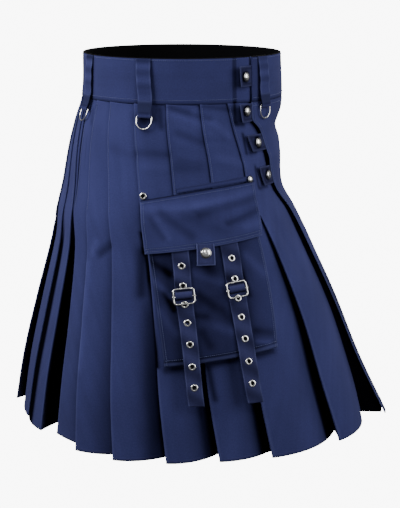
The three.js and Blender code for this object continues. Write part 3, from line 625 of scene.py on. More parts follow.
# %% The line of the pleated cloth
def pleat_grid(folds, rows, crease_rows, shade_rows, mirror):
    """Grid down the skirt: columns follow one strip through panel, fold, return and tuck."""
    z = np.linspace(BAND + SEWN_IN, HEM, rows)[:, None]
    wide_open = opening(z)
    layer = mix(LAYER_SEWN, LAYER, ease(wide_open * 6))
    turn = per_mm(z) * layer / 2
    shut = -2 * layer
    half_turn = np.linspace(0, np.pi, 6)[None, 1:-1]
    parts = []

    def add(angle, level, deep, rub_and_highlight):
        shape = np.broadcast(angle, level).shape
        parts.append([np.broadcast_to(x, shape) for x in (angle, level, deep, rub_and_highlight)])

    cover = read(APRON_EDGE, "angle", z)
    names = FOLD_COLUMNS.split()
    # Each fold adds the way down from the fold before, its panel, its edge, its return and its tuck
    for i, row in enumerate(folds):
        fold = dict(zip(names, row))
        edge = fold_angle(fold, z)
        reach = fold["reach"] * wide_open
        dip = mix(shut, fold["dip"], wide_open ** (6 if i == 0 else 1))
        # What lies beneath the apron, or beneath the fold before, is painted full shade
        if i == 0:
            t = np.linspace(0, 1, 10)[None, :]
            at = cover - mix(UNDERLAP, 0.9, t)
            close = np.minimum(apron_out(-at if mirror else at, z) - 1.4 - 3, 8)
            held = mix(shut, close, ease(wide_open * 3))
            add(at, held, 1.0, 0.0)
            t = np.linspace(0, 1, 6)[None, 1:-1]
            add(cover - 0.9 * (1 - t), mix(held[:, -1:], dip, t), 1.0, 0.0)
        else:
            t = np.linspace(0, 1, 5)[None, :-1]
            add(mix(cover - under, cover, t), mix(deeper, dip, t), 1.0, 0.0)
        t = (np.linspace(0, 1, 22) ** 0.9)[None, :]
        level = reach + (dip - reach) * mix(1 - t, (1 - t) ** 1.7, wide_open)
        level = level + 1.5 * wide_open * np.sin(np.pi * t)
        run = (edge - cover) / per_mm(z)
        from_cover, to_edge = run * t, run * (1 - t)
        # Painted shade on the panel: dark beside the fold before, where the panel comes out from under it,
        # and softer further out
        near_fold = bell(from_cover, mix(1.5, fold["shade"], wide_open))
        # On the last left panel the shade is a wide dark band, which stands for a gap in the cloth
        if fold["shade"] > WIDE_SHADE:
            near_fold = 1.1 * bell(from_cover, fold["shade"] * wide_open ** 0.6 + 1.0, 8)
        soft_shade = mix(0.16, 0.34, ease(wide_open * 4))
        soft_shade = soft_shade * bell(from_cover, mix(6.0, 34.0, wide_open))
        shadow = np.maximum(0.96 * ease(wide_open * 4) * near_fold, soft_shade)
        # A thin painted shadow line along the edge of the fold before, fainter on the back folds where they
        # are sewn
        fold_shadow_line = 0.75 if i < 4 else mix(0.30, 0.75, ease(wide_open * 6))
        shadow = np.maximum(shadow, fold_shadow_line * bell(from_cover, 1.1))
        # Painted shade over the whole panel, growing towards the hem
        shadow = shadow + 0.11 + 0.18 * wide_open
        # Paler along its own fold edge, partly as wear and partly as a painted highlight
        rub_and_highlight = mix(0.05, 0.12, wide_open) * bell(to_edge, 1.3)
        add(mix(cover, edge - turn, t), level, shadow, rub_and_highlight)
        # Painted shade on the fold's turn, its return and its tuck, lighter where they are sewn flat
        sewn = mix(0.45, 1.0, ease(wide_open * 8))
        add(edge - turn + turn * np.sin(half_turn), reach - layer / 2 * (1 - np.cos(half_turn)),
            (0.15 + 0.2 * half_turn) * sewn, 0.03)
        under = mix(fold["tuck"] * 0.9, fold["tuck"], wide_open)
        after = folds[i + 1][names.index("dip")] - 13 if i + 1 < len(folds) else -50
        deeper = mix(shut, after, wide_open)
        t = np.linspace(0, 1, 9)[None, :]
        add(mix(edge - turn, edge - under, t), mix(reach - layer, deeper + layer, t),
            np.minimum(1.0, 0.75 + t) * sewn, 0.0)
        add(edge - under - turn * np.sin(half_turn), deeper + layer / 2 * (1 + np.cos(half_turn)), 1.0, 0.0)
        cover = edge
    t = np.linspace(0, 1, 11)[None, :]
    # The right piece passes the back centre and laps behind the left one, so that no light shows
    lining = mix(shut, -48 + 4 * (t - 0.5), wide_open) - (0 if mirror else 1.8) * ease((t - 0.5) / 0.3)
    # The piece at the back centre is painted shade, full where it hangs open
    add(mix(edge - under, 179.85 if mirror else 180.6, t), lining, mix(0.2, 1.0, ease(wide_open * 5)), 0.0)
    angle, level, deep, rub_and_highlight = (np.concatenate(x, 1) for x in zip(*parts))
    z = z + 0 * angle
    # Painted shade in the creases, and painted light where a row's amount is below nothing
    deep = np.clip(deep + creases(shade_rows, angle, z), 0, 1)
    level = level + creases(crease_rows, angle, z) * ease((BAND - 4 - z) / 20) - 0.6
    grid = skin(-angle if mirror else angle, z, level)
    return grid, deep, rub_and_highlight


right_grid, deep, rub_and_highlight = pleat_grid(FOLDS_RIGHT, 140, CREASES_RIGHT, SHADES_RIGHT, False)
sheet("pleated_skirt_right", right_grid, CLOTH, [NAVY, SHADE_BLACK], 0.0, deep, rub_and_highlight, ["pleats_right"])
left_grid, deep, rub_and_highlight = pleat_grid(FOLDS_LEFT, 140, CREASES_LEFT, SHADES_LEFT, True)
sheet("pleated_skirt_left", left_grid, CLOTH, [NAVY, SHADE_BLACK], 0.0, deep, rub_and_highlight, ["pleats_left"])

# %% [markdown]
# The waistband is one long strip, doubled and stiffened to 3 mm, that laps over itself at the
# closure. It is a loft: a rounded upright section carried round the waist from 55.6 degrees to
# 430.6 degrees, so that its last 15 degrees lie over its first.

# %% Waistband
def band_out(angle):
    """The same along the whole strip, whose second part starts at 290 degrees."""
    angle = np.asarray(angle, float)
    return np.where(angle < 290, 0.0, lap_out(angle - 360))


def band_wave(angle, z):
    """Slight unevenness of the worn band, most at its middle height."""
    return 0.5 * np.sin(np.radians(angle * 7)) * np.sin(np.pi * z / BAND)


def rounded_section(tall, wall, radius, count=4):
    """Closed outline (down, out) of a flat strip: outer face, low edge, inner face, top edge."""
    bend = np.linspace(0, np.pi, count + 2)[1:-1]
    face = np.linspace(0, 1, 15)
    mid = wall / 2
    outer = np.stack([-radius - face * (tall - 2 * radius), 0 * face], -1)
    low = np.stack([-tall + radius - radius * np.sin(bend), -mid + mid * np.cos(bend)], -1)
    inner = np.stack([-tall + radius + face * (tall - 2 * radius), 0 * face - wall], -1)
    top = np.stack([-radius + radius * np.sin(bend), -mid - mid * np.cos(bend)], -1)
    return np.vstack([outer, low, inner, top])


section = rounded_section(70.0, 3.0, 1.2)
around = np.linspace(55.6, 430.6, 420)[:, None]
z = section[None, :, 0] + 0 * around
out = section[None, :, 1] + band_out(around) + band_wave(around, z) - 0.25 * bell(z + 63, 1.3)
band_grid = skin(around, z, out)
# Painted shade over the whole band, strongest along its low edge
band_shade = 0.16 + 0.55 * bell(z - BAND, 2.2) + 0 * around
# Painted shade beside the loops, the end of the lap and the tabs: where, half width in mm, how dark
BAND_SHADES = [(133.5, 15, 0.25), (176, 15, 0.25), (421.3, 15, 0.30), (226.5, 15, 0.25), (298.2, 15, 0.25),
               (81.6, 4, 0.45), (431, 13, 0.2)]
for spot, wide, dark in BAND_SHADES:
    band_shade = band_shade + dark * bell((around - spot) / per_mm(z), wide, 6)
band_shade = np.clip(band_shade, 0, 1)
loft("waistband_cloth", band_grid, [NAVY, SHADE_BLACK], nodes=["waistband"], deep=band_shade, inner_from=17)

# %% [markdown]
# The apron is the plain front panel. Its free edge, on the wearer's right, lies over the pleats;
# it puffs a little between the snap tabs, where nothing holds it, and flares towards the hem.

# %% Front apron
z = np.linspace(BAND + SEWN_IN, HEM, 130)[:, None]
edge = read(APRON_EDGE, "angle", z)
u = np.linspace(0, 1, 120)[None, :]
angle = mix(edge, -edge, u)
out = apron_out(angle, z)
APRON_CREASES = [
    (40, -95, 10, -110, 9, -1.4), (35, -150, 12, -140, 11, -1.2), (-12, -100, -40, -92, 10, -1.2),
    (-20, -150, -46, -165, 11, -1.1), (20, -260, 16, -430, 16, -1.6), (-18, -300, -22, -500, 18, -1.6),
    (0, -420, 2, -580, 20, 1.4), (34, -330, 28, -500, 14, -1.2)]
out = out + creases(APRON_CREASES, angle, z) * ease((BAND - 4 - z) / 20) - 0.6 * ease((z - BAND + 3) / 3)
apron_grid = skin(angle, z, out)
from_edge = (edge - angle) / per_mm(z)
to_edge = (angle + edge) / per_mm(z)
# Paler along both edges, partly as wear and partly as a painted highlight
rub_and_highlight = 0.35 * bell(from_edge, 1.2) + 0.35 * bell(to_edge, 1.2)
# Painted shade all over, darker just under the band
deep = 0.20 + 0.35 * bell(z - BAND, 1.5) + 0 * u
# Painted shade low down where the free edge turns away from the light
turned_away = 0.62 * ease((-z - 290) / 90) * ease((from_edge - 1.5) / 2) * bell(from_edge, 34, 4)
deep = np.maximum(deep, turned_away)
sheet("front_apron_cloth", apron_grid, 1.3, [NAVY, SHADE_BLACK], -1.0, deep, rub_and_highlight, ["front_apron"])

# %% [markdown]
# Belt loops are strips of doubled cloth. Each bows off the band, goes down past its lower edge,
# and folds back up round the bar of a D ring. The strip is a flat rounded section carried down
# a smooth path in one upright plane.


# %% Belt loops
def smooth_path(points, count):
    """A smooth line through points, by cubic pieces whose slopes come from the neighbours."""
    p = np.asarray(points, float)
    s = np.concatenate([[0], np.cumsum(np.linalg.norm(np.diff(p, axis=0), axis=1) + 1e-6)])
    slope = np.gradient(p, s, axis=0)
    q = np.linspace(0, s[-1], count)
    i = np.clip(np.searchsorted(s, q, side="right") - 1, 0, len(s) - 2)
    step = (s[i + 1] - s[i])[:, None]
    t = ((q - s[i])[:, None]) / step
    h = (2 * t**3 - 3 * t**2 + 1) * p[i] + (3 * t**2 - 2 * t**3) * p[i + 1]
    return h + (t**3 - 2 * t**2 + t) * step * slope[i] + (t**3 - t**2) * step * slope[i + 1]


def strip_sections(centre, across, off, wide, wall, count=9):
    """Flat sections with rounded edges along a path: across it, its width; off it, its wall."""
    turn = np.linspace(-np.pi / 2, np.pi / 2, 5)[1:-1]
    flat = np.linspace(-1, 1, count)
    top = np.stack([flat, 0 * flat, 0 * flat + 1], -1)
    right = np.stack([0 * turn + 1, np.cos(turn), -np.sin(turn)], -1)
    under = np.stack([-flat, 0 * flat, 0 * flat - 1], -1)
    left = np.stack([0 * turn - 1, -np.cos(turn), np.sin(turn)], -1)
    ring = np.vstack([top, right, under, left])
    wide = np.broadcast_to(wide, len(centre))
    half = (wide / 2 - wall / 2)[:, None]
    u = ring[None, :, 0] * half + ring[None, :, 1] * wall / 2
    w = ring[None, :, 2] * wall / 2 + 0 * half
    return centre[:, None] + u[..., None] * across[:, None] + w[..., None] * off[:, None], count


LOOPS = [(176, -84, "back", 0), (133.5, -87, "back_right", -5), (61.3, -76, "front_right", 0),
         (-61.8, -84, "front_left", 0), (-133.5, -87, "back_left", 2)]
LOOP_WALL, LOOP_STEPS = 1.4, 70
RING_WIRE, RING_HALF, RING_DROP, RING_CORNER, BAR_OUT = 1.0, 12.3, 20.0, 2.2, 3.8
for k, (angle, low, where, lean) in enumerate(LOOPS, 1):
    base = float(band_out(angle if angle > 72 else angle + 360))
    bend = 1.0 + 0.75 + LOOP_WALL / 2
    turns = np.radians([0, 36, 72, 108, 144, 180])
    path = [(-1, 1.1, 24.4), (-8, 1.5, 24.4), (low * 0.26, 3.1, 24.2), (low * 0.48, 3.9, 24.0),
            (low * 0.7, 3.7, 24.2), (low + 12, 4.9, 23.6), (low + 8, 5.4, 22.4)]
    path += [(low - bend * np.sin(t), BAR_OUT + bend * np.cos(t), 21.8) for t in turns]
    path += [(low + 6, BAR_OUT - bend, 21.8)]
    line = smooth_path(path, LOOP_STEPS)
    place = np.arange(LOOP_STEPS)
    origin, along, down, off = frame_at(angle, BAND / 2)
    centre = skin(angle, line[:, 0], line[:, 1] + base)
    shift = lean * ease((-line[:, 0] - 10) / (-low - 18))
    centre = centre + ((origin - centre) @ along + shift)[:, None] * along
    travel = unit(np.gradient(centre, axis=0))
    travel = unit(travel - (travel @ along)[:, None] * along)
    across = np.broadcast_to(along, centre.shape)
    normal = unit(np.cross(travel, across))
    normal = normal * np.sign(normal[3] @ off)
    sections, count = strip_sections(centre, across, normal, line[:, 2], LOOP_WALL)
    bars = 0.35 * np.sin(place / LOOP_STEPS * np.pi * 9 + k) * ease(place / 12) * ease((52 - place) / 10)
    sections = sections + (bars[:, None] * normal)[:, None]
    # Painted shade on the loop: faint all over, darker at its top by the band and where it turns round the
    # ring's bar, with faint waves down its upper part
    shade = 0.22 + 0.30 * bell(place - 3, 3.0)
    shade = shade + 0.45 * ease((place - 42) / 5) * ease((60 - place) / 4)
    shade = shade + 0.16 * np.sin(place * 0.42 + k) * ease((36 - place) / 6)
    shade = np.clip(shade, 0, 1)[:, None] + np.zeros((1, sections.shape[1]))
    # Paler at its edges and at its fold, partly as wear and partly as a painted highlight
    edge_rub_and_highlight = np.zeros(shade.shape)
    edge_rub_and_highlight[:, [0, count - 1]] = 0.18
    edge_rub_and_highlight[44:56, :count] = 0.16
    loft(f"belt_loop_strip_{k}", sections, [NAVY], nodes=[f"belt_loop_{k}"], deep=shade, rub_and_highlight=edge_rub_and_highlight)

# %% [markdown]
# D rings are bent from round wire and swing on the loop's fold, so each rides its own body. The
# wire is a round section carried round the ring's closed line.


# %% D rings
def wire_ring(name, line, normal, wide, tall, materials, body, nodes, sides=12):
    """A closed wire: an oval section, wide in the ring's plane and tall across it, round a line."""
    travel = unit(np.roll(line, -1, 0) - np.roll(line, 1, 0))
    across = unit(np.cross(normal, travel))
    a = np.linspace(0, 2 * np.pi, sides, endpoint=False)
    sections = (line[:, None] + wide * np.cos(a)[None, :, None] * across[:, None]
                + tall * np.sin(a)[None, :, None] * np.broadcast_to(normal, line.shape)[:, None])
    return loft(name, sections, materials, body, nodes, caps=False, close=True)


def even_line(points, count):
    """Points set evenly along a closed line of corners and arcs."""
    p = np.vstack([points, points[:1]])
    s = steps_along(p)
    q = np.linspace(0, s[-1], count, endpoint=False)
    return np.stack([np.interp(q, s, p[:, k]) for k in range(p.shape[1])], -1)


bow = np.radians(np.linspace(0, 180, 25))
corner = np.radians(np.linspace(-90, 0, 6))
corner_x = RING_HALF - RING_CORNER + RING_CORNER * np.cos(corner)
corner_y = RING_CORNER + RING_CORNER * np.sin(corner)
d_shape = np.vstack([
    [[RING_CORNER - RING_HALF, 0]], np.stack([corner_x, corner_y], -1),
    np.stack([RING_HALF * np.cos(bow), RING_DROP - RING_HALF + RING_HALF * np.sin(bow)], -1),
    np.stack([-corner_x[::-1], corner_y[::-1]], -1)])
d_line = even_line(d_shape, 72)
for k, (angle, low, where, lean) in enumerate(LOOPS, 1):
    base = float(band_out(angle if angle > 72 else angle + 360))
    origin, along, _, _ = frame_at(angle, BAND / 2)
    ends = skin(angle, np.array([low, low - RING_DROP]), np.array([BAR_OUT, BAR_OUT + 0.6]) + base)
    ends = ends + ((origin - ends) @ along + lean)[:, None] * along
    down = unit(ends[1] - ends[0])
    line = ends[0] + d_line[:, :1] * along + d_line[:, 1:] * down
    wire_ring(f"d_ring_wire_{k}", line, np.cross(along, down), RING_WIRE, 1.0, [NICKEL],
              f"ring_{where}", [f"d_ring_{k}"])

# %% [markdown]
# Four short tabs close the apron over the pleats, each with a press stud. The cap of a stud is
# pressed from thin sheet: a low dome with a rolled rim, so it is a profile turned about an axis.


# %% Turned studs and eyelets
def turned(name, profile, frames, material, nodes, sides=28):
    """Profiles (radius, height, painted groove shade) turned about the off direction of each frame, in one
    mesh.
    """
    profile, groove_shade = np.asarray(profile, float)[:, :2], np.asarray(profile, float)[:, 2]
    a = np.linspace(0, 2 * np.pi, sides, endpoint=False)
    points, faces, marks, start = [], [], [], 0
    for origin, along, down, off in frames:
        ring = (profile[:, None, :1] * (np.cos(a)[None, :, None] * along + np.sin(a)[None, :, None] * down)
                + profile[:, None, 1:] * off + origin)
        points.append(ring.reshape(-1, 3))
        part = grid_faces(len(profile), sides, close_rows=True, close_cols=True)
        good = np.sum(np.cross(along, down) * off) > 0
        faces.append((part[:, ::-1] if good else part) + start)
        marks.append(np.repeat(groove_shade, sides))
        start += len(profile) * sides
    points, faces, marks = np.vstack(points), np.vstack(faces), np.concatenate(marks)
    if signed_volume(points, faces) < 0:
        faces = faces[:, ::-1]
    own(put_mesh(name, points, faces, [material], points[:, :2], deep=marks), "kilt", nodes)
    print(name, "turned pieces:", len(frames))


def cap_profile(radius, height):
    """Half section of a stud cap: a rolled rim and a low dome, with painted shade on the rim and round the
    foot of the dome.
    """
    t = np.linspace(0, np.pi / 2, 9)
    roll = np.radians(np.linspace(-90, 60, 6))
    rim = np.stack([radius - 0.6 + 0.6 * np.cos(roll), 0.7 + 0.6 * np.sin(roll), 0.5 + 0 * roll], -1)
    dome = np.stack([(radius - 1.1) * np.cos(t), 1.0 + (height - 1.0) * np.sin(t),
                     bell(t, 0.35)], -1)
    dome[-1, 0] = 0.02
    return np.vstack([[[0.02, 0.1, 0.5]], rim, dome])


TABS = table("z angle stud_z end lean tall rise", [
    (-29.3, 75.9, -29.8, 80.4, 0.7, 31, 8), (-85, 75.3, -82.4, 80.6, 1.4, 27.5, 8),
    (-132.5, 68.4, -132.2, 75.9, 2.4, 25.5, 2.5), (-185.7, 62.6, -185.1, 70, 2.8, 29, 1.5)])

# %% Closure tabs
tab_frames = []
for k in range(4):
    row = {name: column[k] for name, column in TABS.items()}
    r = np.linspace(0, 1, 25)[:, None]
    t = np.linspace(0, 1, 19)[None, :]
    z = row["z"] + row["tall"] * (0.5 - r)
    first = read(APRON_EDGE, "angle", z) + 0.2
    last = row["end"] - row["lean"] * r
    lift = mix(2.2, 1.5 + row["rise"], t) + 1.4
    lift = lift + 0.5 * bell(t - 0.95, 0.12) * (r - 0.5) ** 2 * 4
    grid = skin(mix(first, last, t), z + 0 * t, lift)
    rim = np.minimum(np.minimum(r, 1 - r) * row["tall"], np.minimum(t + 1, 1 - t) * 20) + 0 * t
    spot = np.hypot((mix(first, last, t) - row["angle"]) / per_mm(z), z - row["stud_z"])
    # Painted shade a little in from the tab's edges and in a ring round the stud, faint all over; its edges
    # paler, partly as wear and partly as a painted highlight
    shade = 0.30 + 0.3 * bell(rim - 4, 1.5) + 0.6 * bell(spot - 7.2, 2.4)
    sheet(f"snap_tab_{k + 1}", grid, 1.4, [STRAP_NAVY], -1.0, np.clip(shade, 0, 1),
          0.25 * bell(rim, 0.8), [f"closure_tab_{k + 1}"])
    start = float(read(APRON_EDGE, "angle", row["stud_z"]))
    length = row["end"] - float(read(APRON_EDGE, "angle", row["z"]))
    seat = mix(2.2, 1.5 + row["rise"], (row["angle"] - start) / length) + 2.4
    origin, along, down, off = frame_at(row["angle"], row["stud_z"], seat)
    tip = np.arctan2(row["rise"] - 0.7, length / float(per_mm(row["z"])))
    tab_frames.append((origin, along * np.cos(tip) + off * np.sin(tip), down,
                       off * np.cos(tip) - along * np.sin(tip)))
turned("tab_stud_caps", cap_profile(7.0, 3.2), tab_frames, NICKEL, [f"tab_snap_{k}" for k in range(1, 5)])

# %% [markdown]
# The cargo pocket is a flat pouch. Its front and back are one tube of cloth closed at the foot,
# open at the top under the flap. The front is fuller than the back, with soft creases, and its
# foot has a turned hem that puckers.

# %% Pocket pouch
BAG = {"top_left": (137.2, -247), "top_right": (83.4, -227),
       "low_left": (132.2, -451), "low_right": (93.4, -431.5)}
FLAP = {"top_left": (137.4, -212), "top_right": (74.6, -189.6),
        "low_left": (137.4, -288.8), "low_right": (85.2, -268.5)}


def corner_blend(shape, u, v):
    """Angle and height at a share u across and v down between four corners."""
    a = [mix(mix(shape["top_left"][k], shape["top_right"][k], u),
             mix(shape["low_left"][k], shape["low_right"][k], u), v) for k in (0, 1)]
    return a[0], a[1]


def bag_back(z):
    """How far the back of the pouch stands off the plan outline."""
    return 1.9 + 10.5 * opening(z)


def bag_full(u, v):
    """Fullness of the front over the back: least at the sides and at the foot."""
    return mix(3.2, 5.2, np.sin(np.pi * np.clip(u, 0, 1)) ** 0.5 * (1 - v**4))


BAG_WIDE = 190
across, rows = 64, 90
v = np.linspace(0, 1, rows)[:, None]
u = np.linspace(0, 1, across)[None, :]
angle, z = corner_blend(BAG, u, v)
hem = bell(v - 0.985, 0.012)
puckers = hem * (0.45 + 0.3 * np.sin(u * 150) * (0.6 + 0.4 * np.sin(u * 23)))
groove = -0.7 * bell(v - 0.962, 0.006)
BAG_CREASES = [
    (134.2, -329, 129, -350, 5, 1.25), (135, -300, 128, -316, 6, -1.38), (132, -346, 128.2, -368, 5, -1.62),
    (133, -371, 127.2, -402, 6, 1), (118.5, -316, 109.5, -330, 7, 1.12), (118.5, -348, 114, -364, 7, -1.38),
    (116, -350, 109, -344, 6, 0.75), (121, -377, 116.8, -379, 6, -1.00), (115, -393, 108.5, -404, 8, 1.12),
    (119, -402, 117, -421, 7, -1.12), (95.5, -297, 90, -324, 8, 1.12), (100, -405, 94, -411, 7, -1.25),
    (100.5, -419, 95.8, -424, 4, 1.12), (97, -340, 93, -372, 9, 0.75), (98, -320, 96, -345, 5, -0.75)]
# Painted shade in the pouch's creases, and painted light where the amount is below nothing
BAG_SHADES = [
    (134.2, -329, 129, -350, 5, -0.26), (135, -301, 128.6, -317, 7, 0.27), (131, -346, 128, -368, 5, 0.34),
    (133, -372, 128, -402, 7, -0.18), (118.5, -317, 110, -330, 7, -0.18), (118.5, -348, 114, -364, 8, 0.20),
    (121, -377, 117, -379, 6, 0.20), (114, -393, 109, -402, 8, -0.18), (119, -402, 117, -421, 8, 0.20),
    (95.5, -297, 90.5, -323, 9, -0.26), (100, -404, 94.5, -410, 6, 0.24), (100.5, -419, 96, -423, 4, -0.31),
    (111, -370, 108.6, -384, 8, 0.17), (99.6, -316, 99, -352, 4, 0.24), (113, -308, 112.6, -312, 12, 0.24)]
front_out = bag_back(z) + bag_full(u, v) + puckers + groove
front_out = front_out + creases(BAG_CREASES, angle, z) * np.sin(np.pi * u) ** 0.3 - 0.35
front_out = np.minimum(front_out, bag_back(z) + 5.5)  # the straps lie at 5.7, over the pouch
front = skin(angle, z, front_out)
back = skin(angle, z, bag_back(z) + 0.15)
bag_grid = np.concatenate([front, back[:, ::-1]], 1)
faces = grid_faces(rows, 2 * across, close_cols=True)
foot = (rows - 1) * 2 * across
c = np.arange(across - 1)
closing = np.stack([foot + c, foot + 2 * across - 1 - c, foot + 2 * across - 2 - c, foot + c + 1], -1)
a, b, q = bag_grid.reshape(-1, 3)[faces[0, :3]]
looks_out = np.cross(b - a, q - a)[:2] @ a[:2] > 0
faces = np.vstack([faces, closing]) if looks_out else np.vstack([faces, closing])[:, ::-1]
side_gap = np.minimum(u, 1 - u) * BAG_WIDE + 0 * v
# Painted shade on the front of the pouch: along the hem's groove, under the flap, faint all over, darker in
# the middle, at the left and in two upright bands, lighter at the right
deep_front = 0.35 * bell(v - 0.962, 0.006) + 0.35 * bell(v, 0.14)
deep_front = deep_front + 0.54 + 0.10 * bell(u - 0.45, 0.22) - 0.12 * ease((u - 0.80) / 0.1)
deep_front = deep_front + 0.12 * ease((0.17 - u) / 0.08)
for side_u, wide in ((0.19, 0.085), (0.70, 0.085)):
    deep_front = deep_front + 0.20 * bell(u - side_u, wide, 4)
deep_front = np.clip(deep_front + creases(BAG_SHADES, angle, z), 0, 1)
# Paler along the sides and on the puckers of the hem, partly as wear and partly as a painted highlight
front_rub_and_highlight = 0.30 * bell(side_gap, 1.5) + 0.22 * hem
# The back of the pouch, which faces inward, is painted full shade
deep = np.concatenate([deep_front, np.ones_like(deep_front)], 1)
rub_and_highlight = np.concatenate([front_rub_and_highlight, np.zeros_like(front_rub_and_highlight)], 1)
uv = arc_uv(bag_grid).reshape(-1, 2)
bag = put_mesh("pocket_pouch", bag_grid.reshape(-1, 3), faces, [NAVY], uv, deep, rub_and_highlight)
add_wall(bag, 0.9)
own(bag, nodes=["pocket_bag"])
print("pocket_pouch across, mm:", round(float(np.linalg.norm(front[40, 0] - front[40, -1]))))

# %% [markdown]
# The flap is doubled cloth, sewn along its top edge and pressed over the mouth of the pouch. A
# narrow facing shows above it, where the pouch is sewn to the skirt.

# %% Pocket flap and facing
FLAP_BOW, FLAP_WALL, FLAP_WIDE, FLAP_TALL = 4.5, 2.0, 195, 77
FLAP_ROWS = (3.2, 7.2)  # the two rows of stitches along its foot, mm from the edge
SIDE_ROW = 4.5  # the row of stitches along each side of the flap and the pouch
v = np.linspace(0, 1, 60)[:, None]
u = np.linspace(0, 1, 90)[None, :]
angle, z = corner_blend(FLAP, u, v)
z = z + FLAP_BOW * (1 - v) * np.sin(np.pi * u)
out = mix(1.2, bag_back(z) + 7.8, ease(v * 2.2)) + FLAP_WALL
FLAP_CREASES = [
    (137, -226, 114, -223, 5, 0.8), (113, -222, 77, -205, 5, 1.1), (112, -229, 76, -212, 5, -1.2),
    (127.5, -229, 116.5, -263, 8, -1.4), (129.5, -237, 126.5, -266, 5, 0.9),
    (133, -237, 128.8, -266, 5, -0.9),
    (99.5, -247, 80, -231, 4.5, -1.3), (92, -253, 84, -250, 6, 0.9), (99, -236, 92, -228, 8, 0.5),
    (106, -254, 102, -262, 6, -0.6)]
# Painted shade in the flap's creases, and painted light where the amount is below nothing
FLAP_SHADES = [
    (137, -222, 112, -219, 8, -0.18), (110, -217, 80, -203, 7, -0.18), (111, -231, 77, -213, 5, 0.22),
    (127.5, -230, 117, -263, 8, 0.27), (118, -234, 108, -232, 9, 0.18),
    (129.5, -238, 126.6, -265, 5, -0.15),
    (133, -238, 129, -265, 5, 0.18), (99.5, -247, 81, -232, 5, 0.27), (92, -254, 85, -251, 6, -0.21),
    (98, -234, 92, -230, 8, -0.09), (112, -244, 104, -258, 12, 0.15)]
out = out + creases(FLAP_CREASES, angle, z) * ease(v * 6) * ease((1 - v) * 5)
flap_grid = skin(angle, z, out)
down_mm, side_mm = (1 - v) * FLAP_TALL + 0 * u, np.minimum(u, 1 - u) * FLAP_WIDE + 0 * v
# Paler at the edges, partly as wear and partly as a painted highlight
rub_and_highlight = 0.22 * bell(down_mm, 1.3) + 0.22 * bell(side_mm, 1.3)
# Painted shade under the flap's sewn top edge, along its two rows of stitches at the foot, and faintly all
# over
deep = 0.75 * bell(v * FLAP_TALL, 1.5) + 0 * u
for row_up in FLAP_ROWS:
    deep = deep + 0.22 * bell(down_mm - row_up, 0.9)
deep = np.clip(deep + 0.24 + creases(FLAP_SHADES, angle, z), 0, 1)
sheet("pocket_flap_cloth", flap_grid, FLAP_WALL, [NAVY], -1.0, deep, rub_and_highlight, ["pocket_flap"])

t = np.linspace(0.30, 0.985, 60)[:, None]
angle, z = corner_blend(FLAP, t[:, 0], 0 * t[:, 0])
z = z + FLAP_BOW * np.sin(np.pi * t[:, 0])
origin, along, down, off = frame_at(angle, z + 4.6, 1.0)
sections, count = strip_sections(origin, -down, off, 7.6, 1.0)
# Painted shade on the facing, lighter along the middle of its face
shade = 0.42 - 0.25 * bell(np.arange(sections.shape[1]) - 4, 2.0)
loft("pocket_facing", sections, [NAVY], deep=shade[None, :] + 0 * sections[..., 0])

# %% Flap tab and its stud
def flap_out(z):
    """Level of the face of the flap over the plan outline."""
    return bag_back(z) + 7.8 + FLAP_WALL


z = np.linspace(-273, -304, 26)[:, None]
t = np.linspace(-3.6, 3.6, 25)[None, :]
grid = skin(112.2 - (z + 273) * 0.055 - t, z + 0 * t, flap_out(z) + 1.9 + 0.15 * np.cos(t * 3))
rim = np.minimum((3.6 - np.abs(t)) / 0.27, (z + 304)) + 0 * t
# Painted shade a little in from the tab's edges; the edges paler, partly as wear and partly as a painted
# highlight
sheet("flap_tab_cloth", grid, 1.4, [STRAP_NAVY], -1.0, 0.3 * bell(rim - 3, 0.9),
      0.4 * bell(rim, 0.9), ["flap_tab"])
turned("flap_stud_cap", cap_profile(8.2, 3.6), [frame_at(113, -286.0, flap_out(-286.0) + 2.3)], NICKEL,
       ["flap_snap"], 40)

# %% [markdown]
# Two straps hang over the pouch, each with seven eyelets and a wire buckle held by a small roll
# of cloth. The eyelets are plated rings rolled over the edge of a punched hole, so the hole in
# the middle is dark.

# %% Straps
STRAPS = {
    "left": dict(
        run=table("z angle", [(-268, 122.9), (-305, 123.4), (-348, 124), (-386, 123.8), (-448, 123.4),
                              (-505.5, 123)]),
        start=-268, end=-505.5, wide=26.5, narrow=24, buckle=-348.4,
        eyelets=(-305, -333.6, -360, -386.2, -417, -448.6, -478.4)),
    "right": dict(
        run=table("z angle", [(-256, 101.4), (-296, 102.7), (-326, 103.7), (-354, 104.3), (-412, 105),
                              (-504.8, 105.2)]),
        start=-256, end=-504.8, wide=30.5, narrow=25, buckle=-341.9,
        eyelets=(-296.6, -326.4, -354.1, -381.4, -412.5, -444.9, -476.6))}


def strap_out(z):
    """Level of the back of a strap over the plan outline."""
    return bag_back(z) + 5.7


def strap_centre(strap, z):
    """Angle of the middle of a strap at a height."""
    return read(strap["run"], "angle", z)


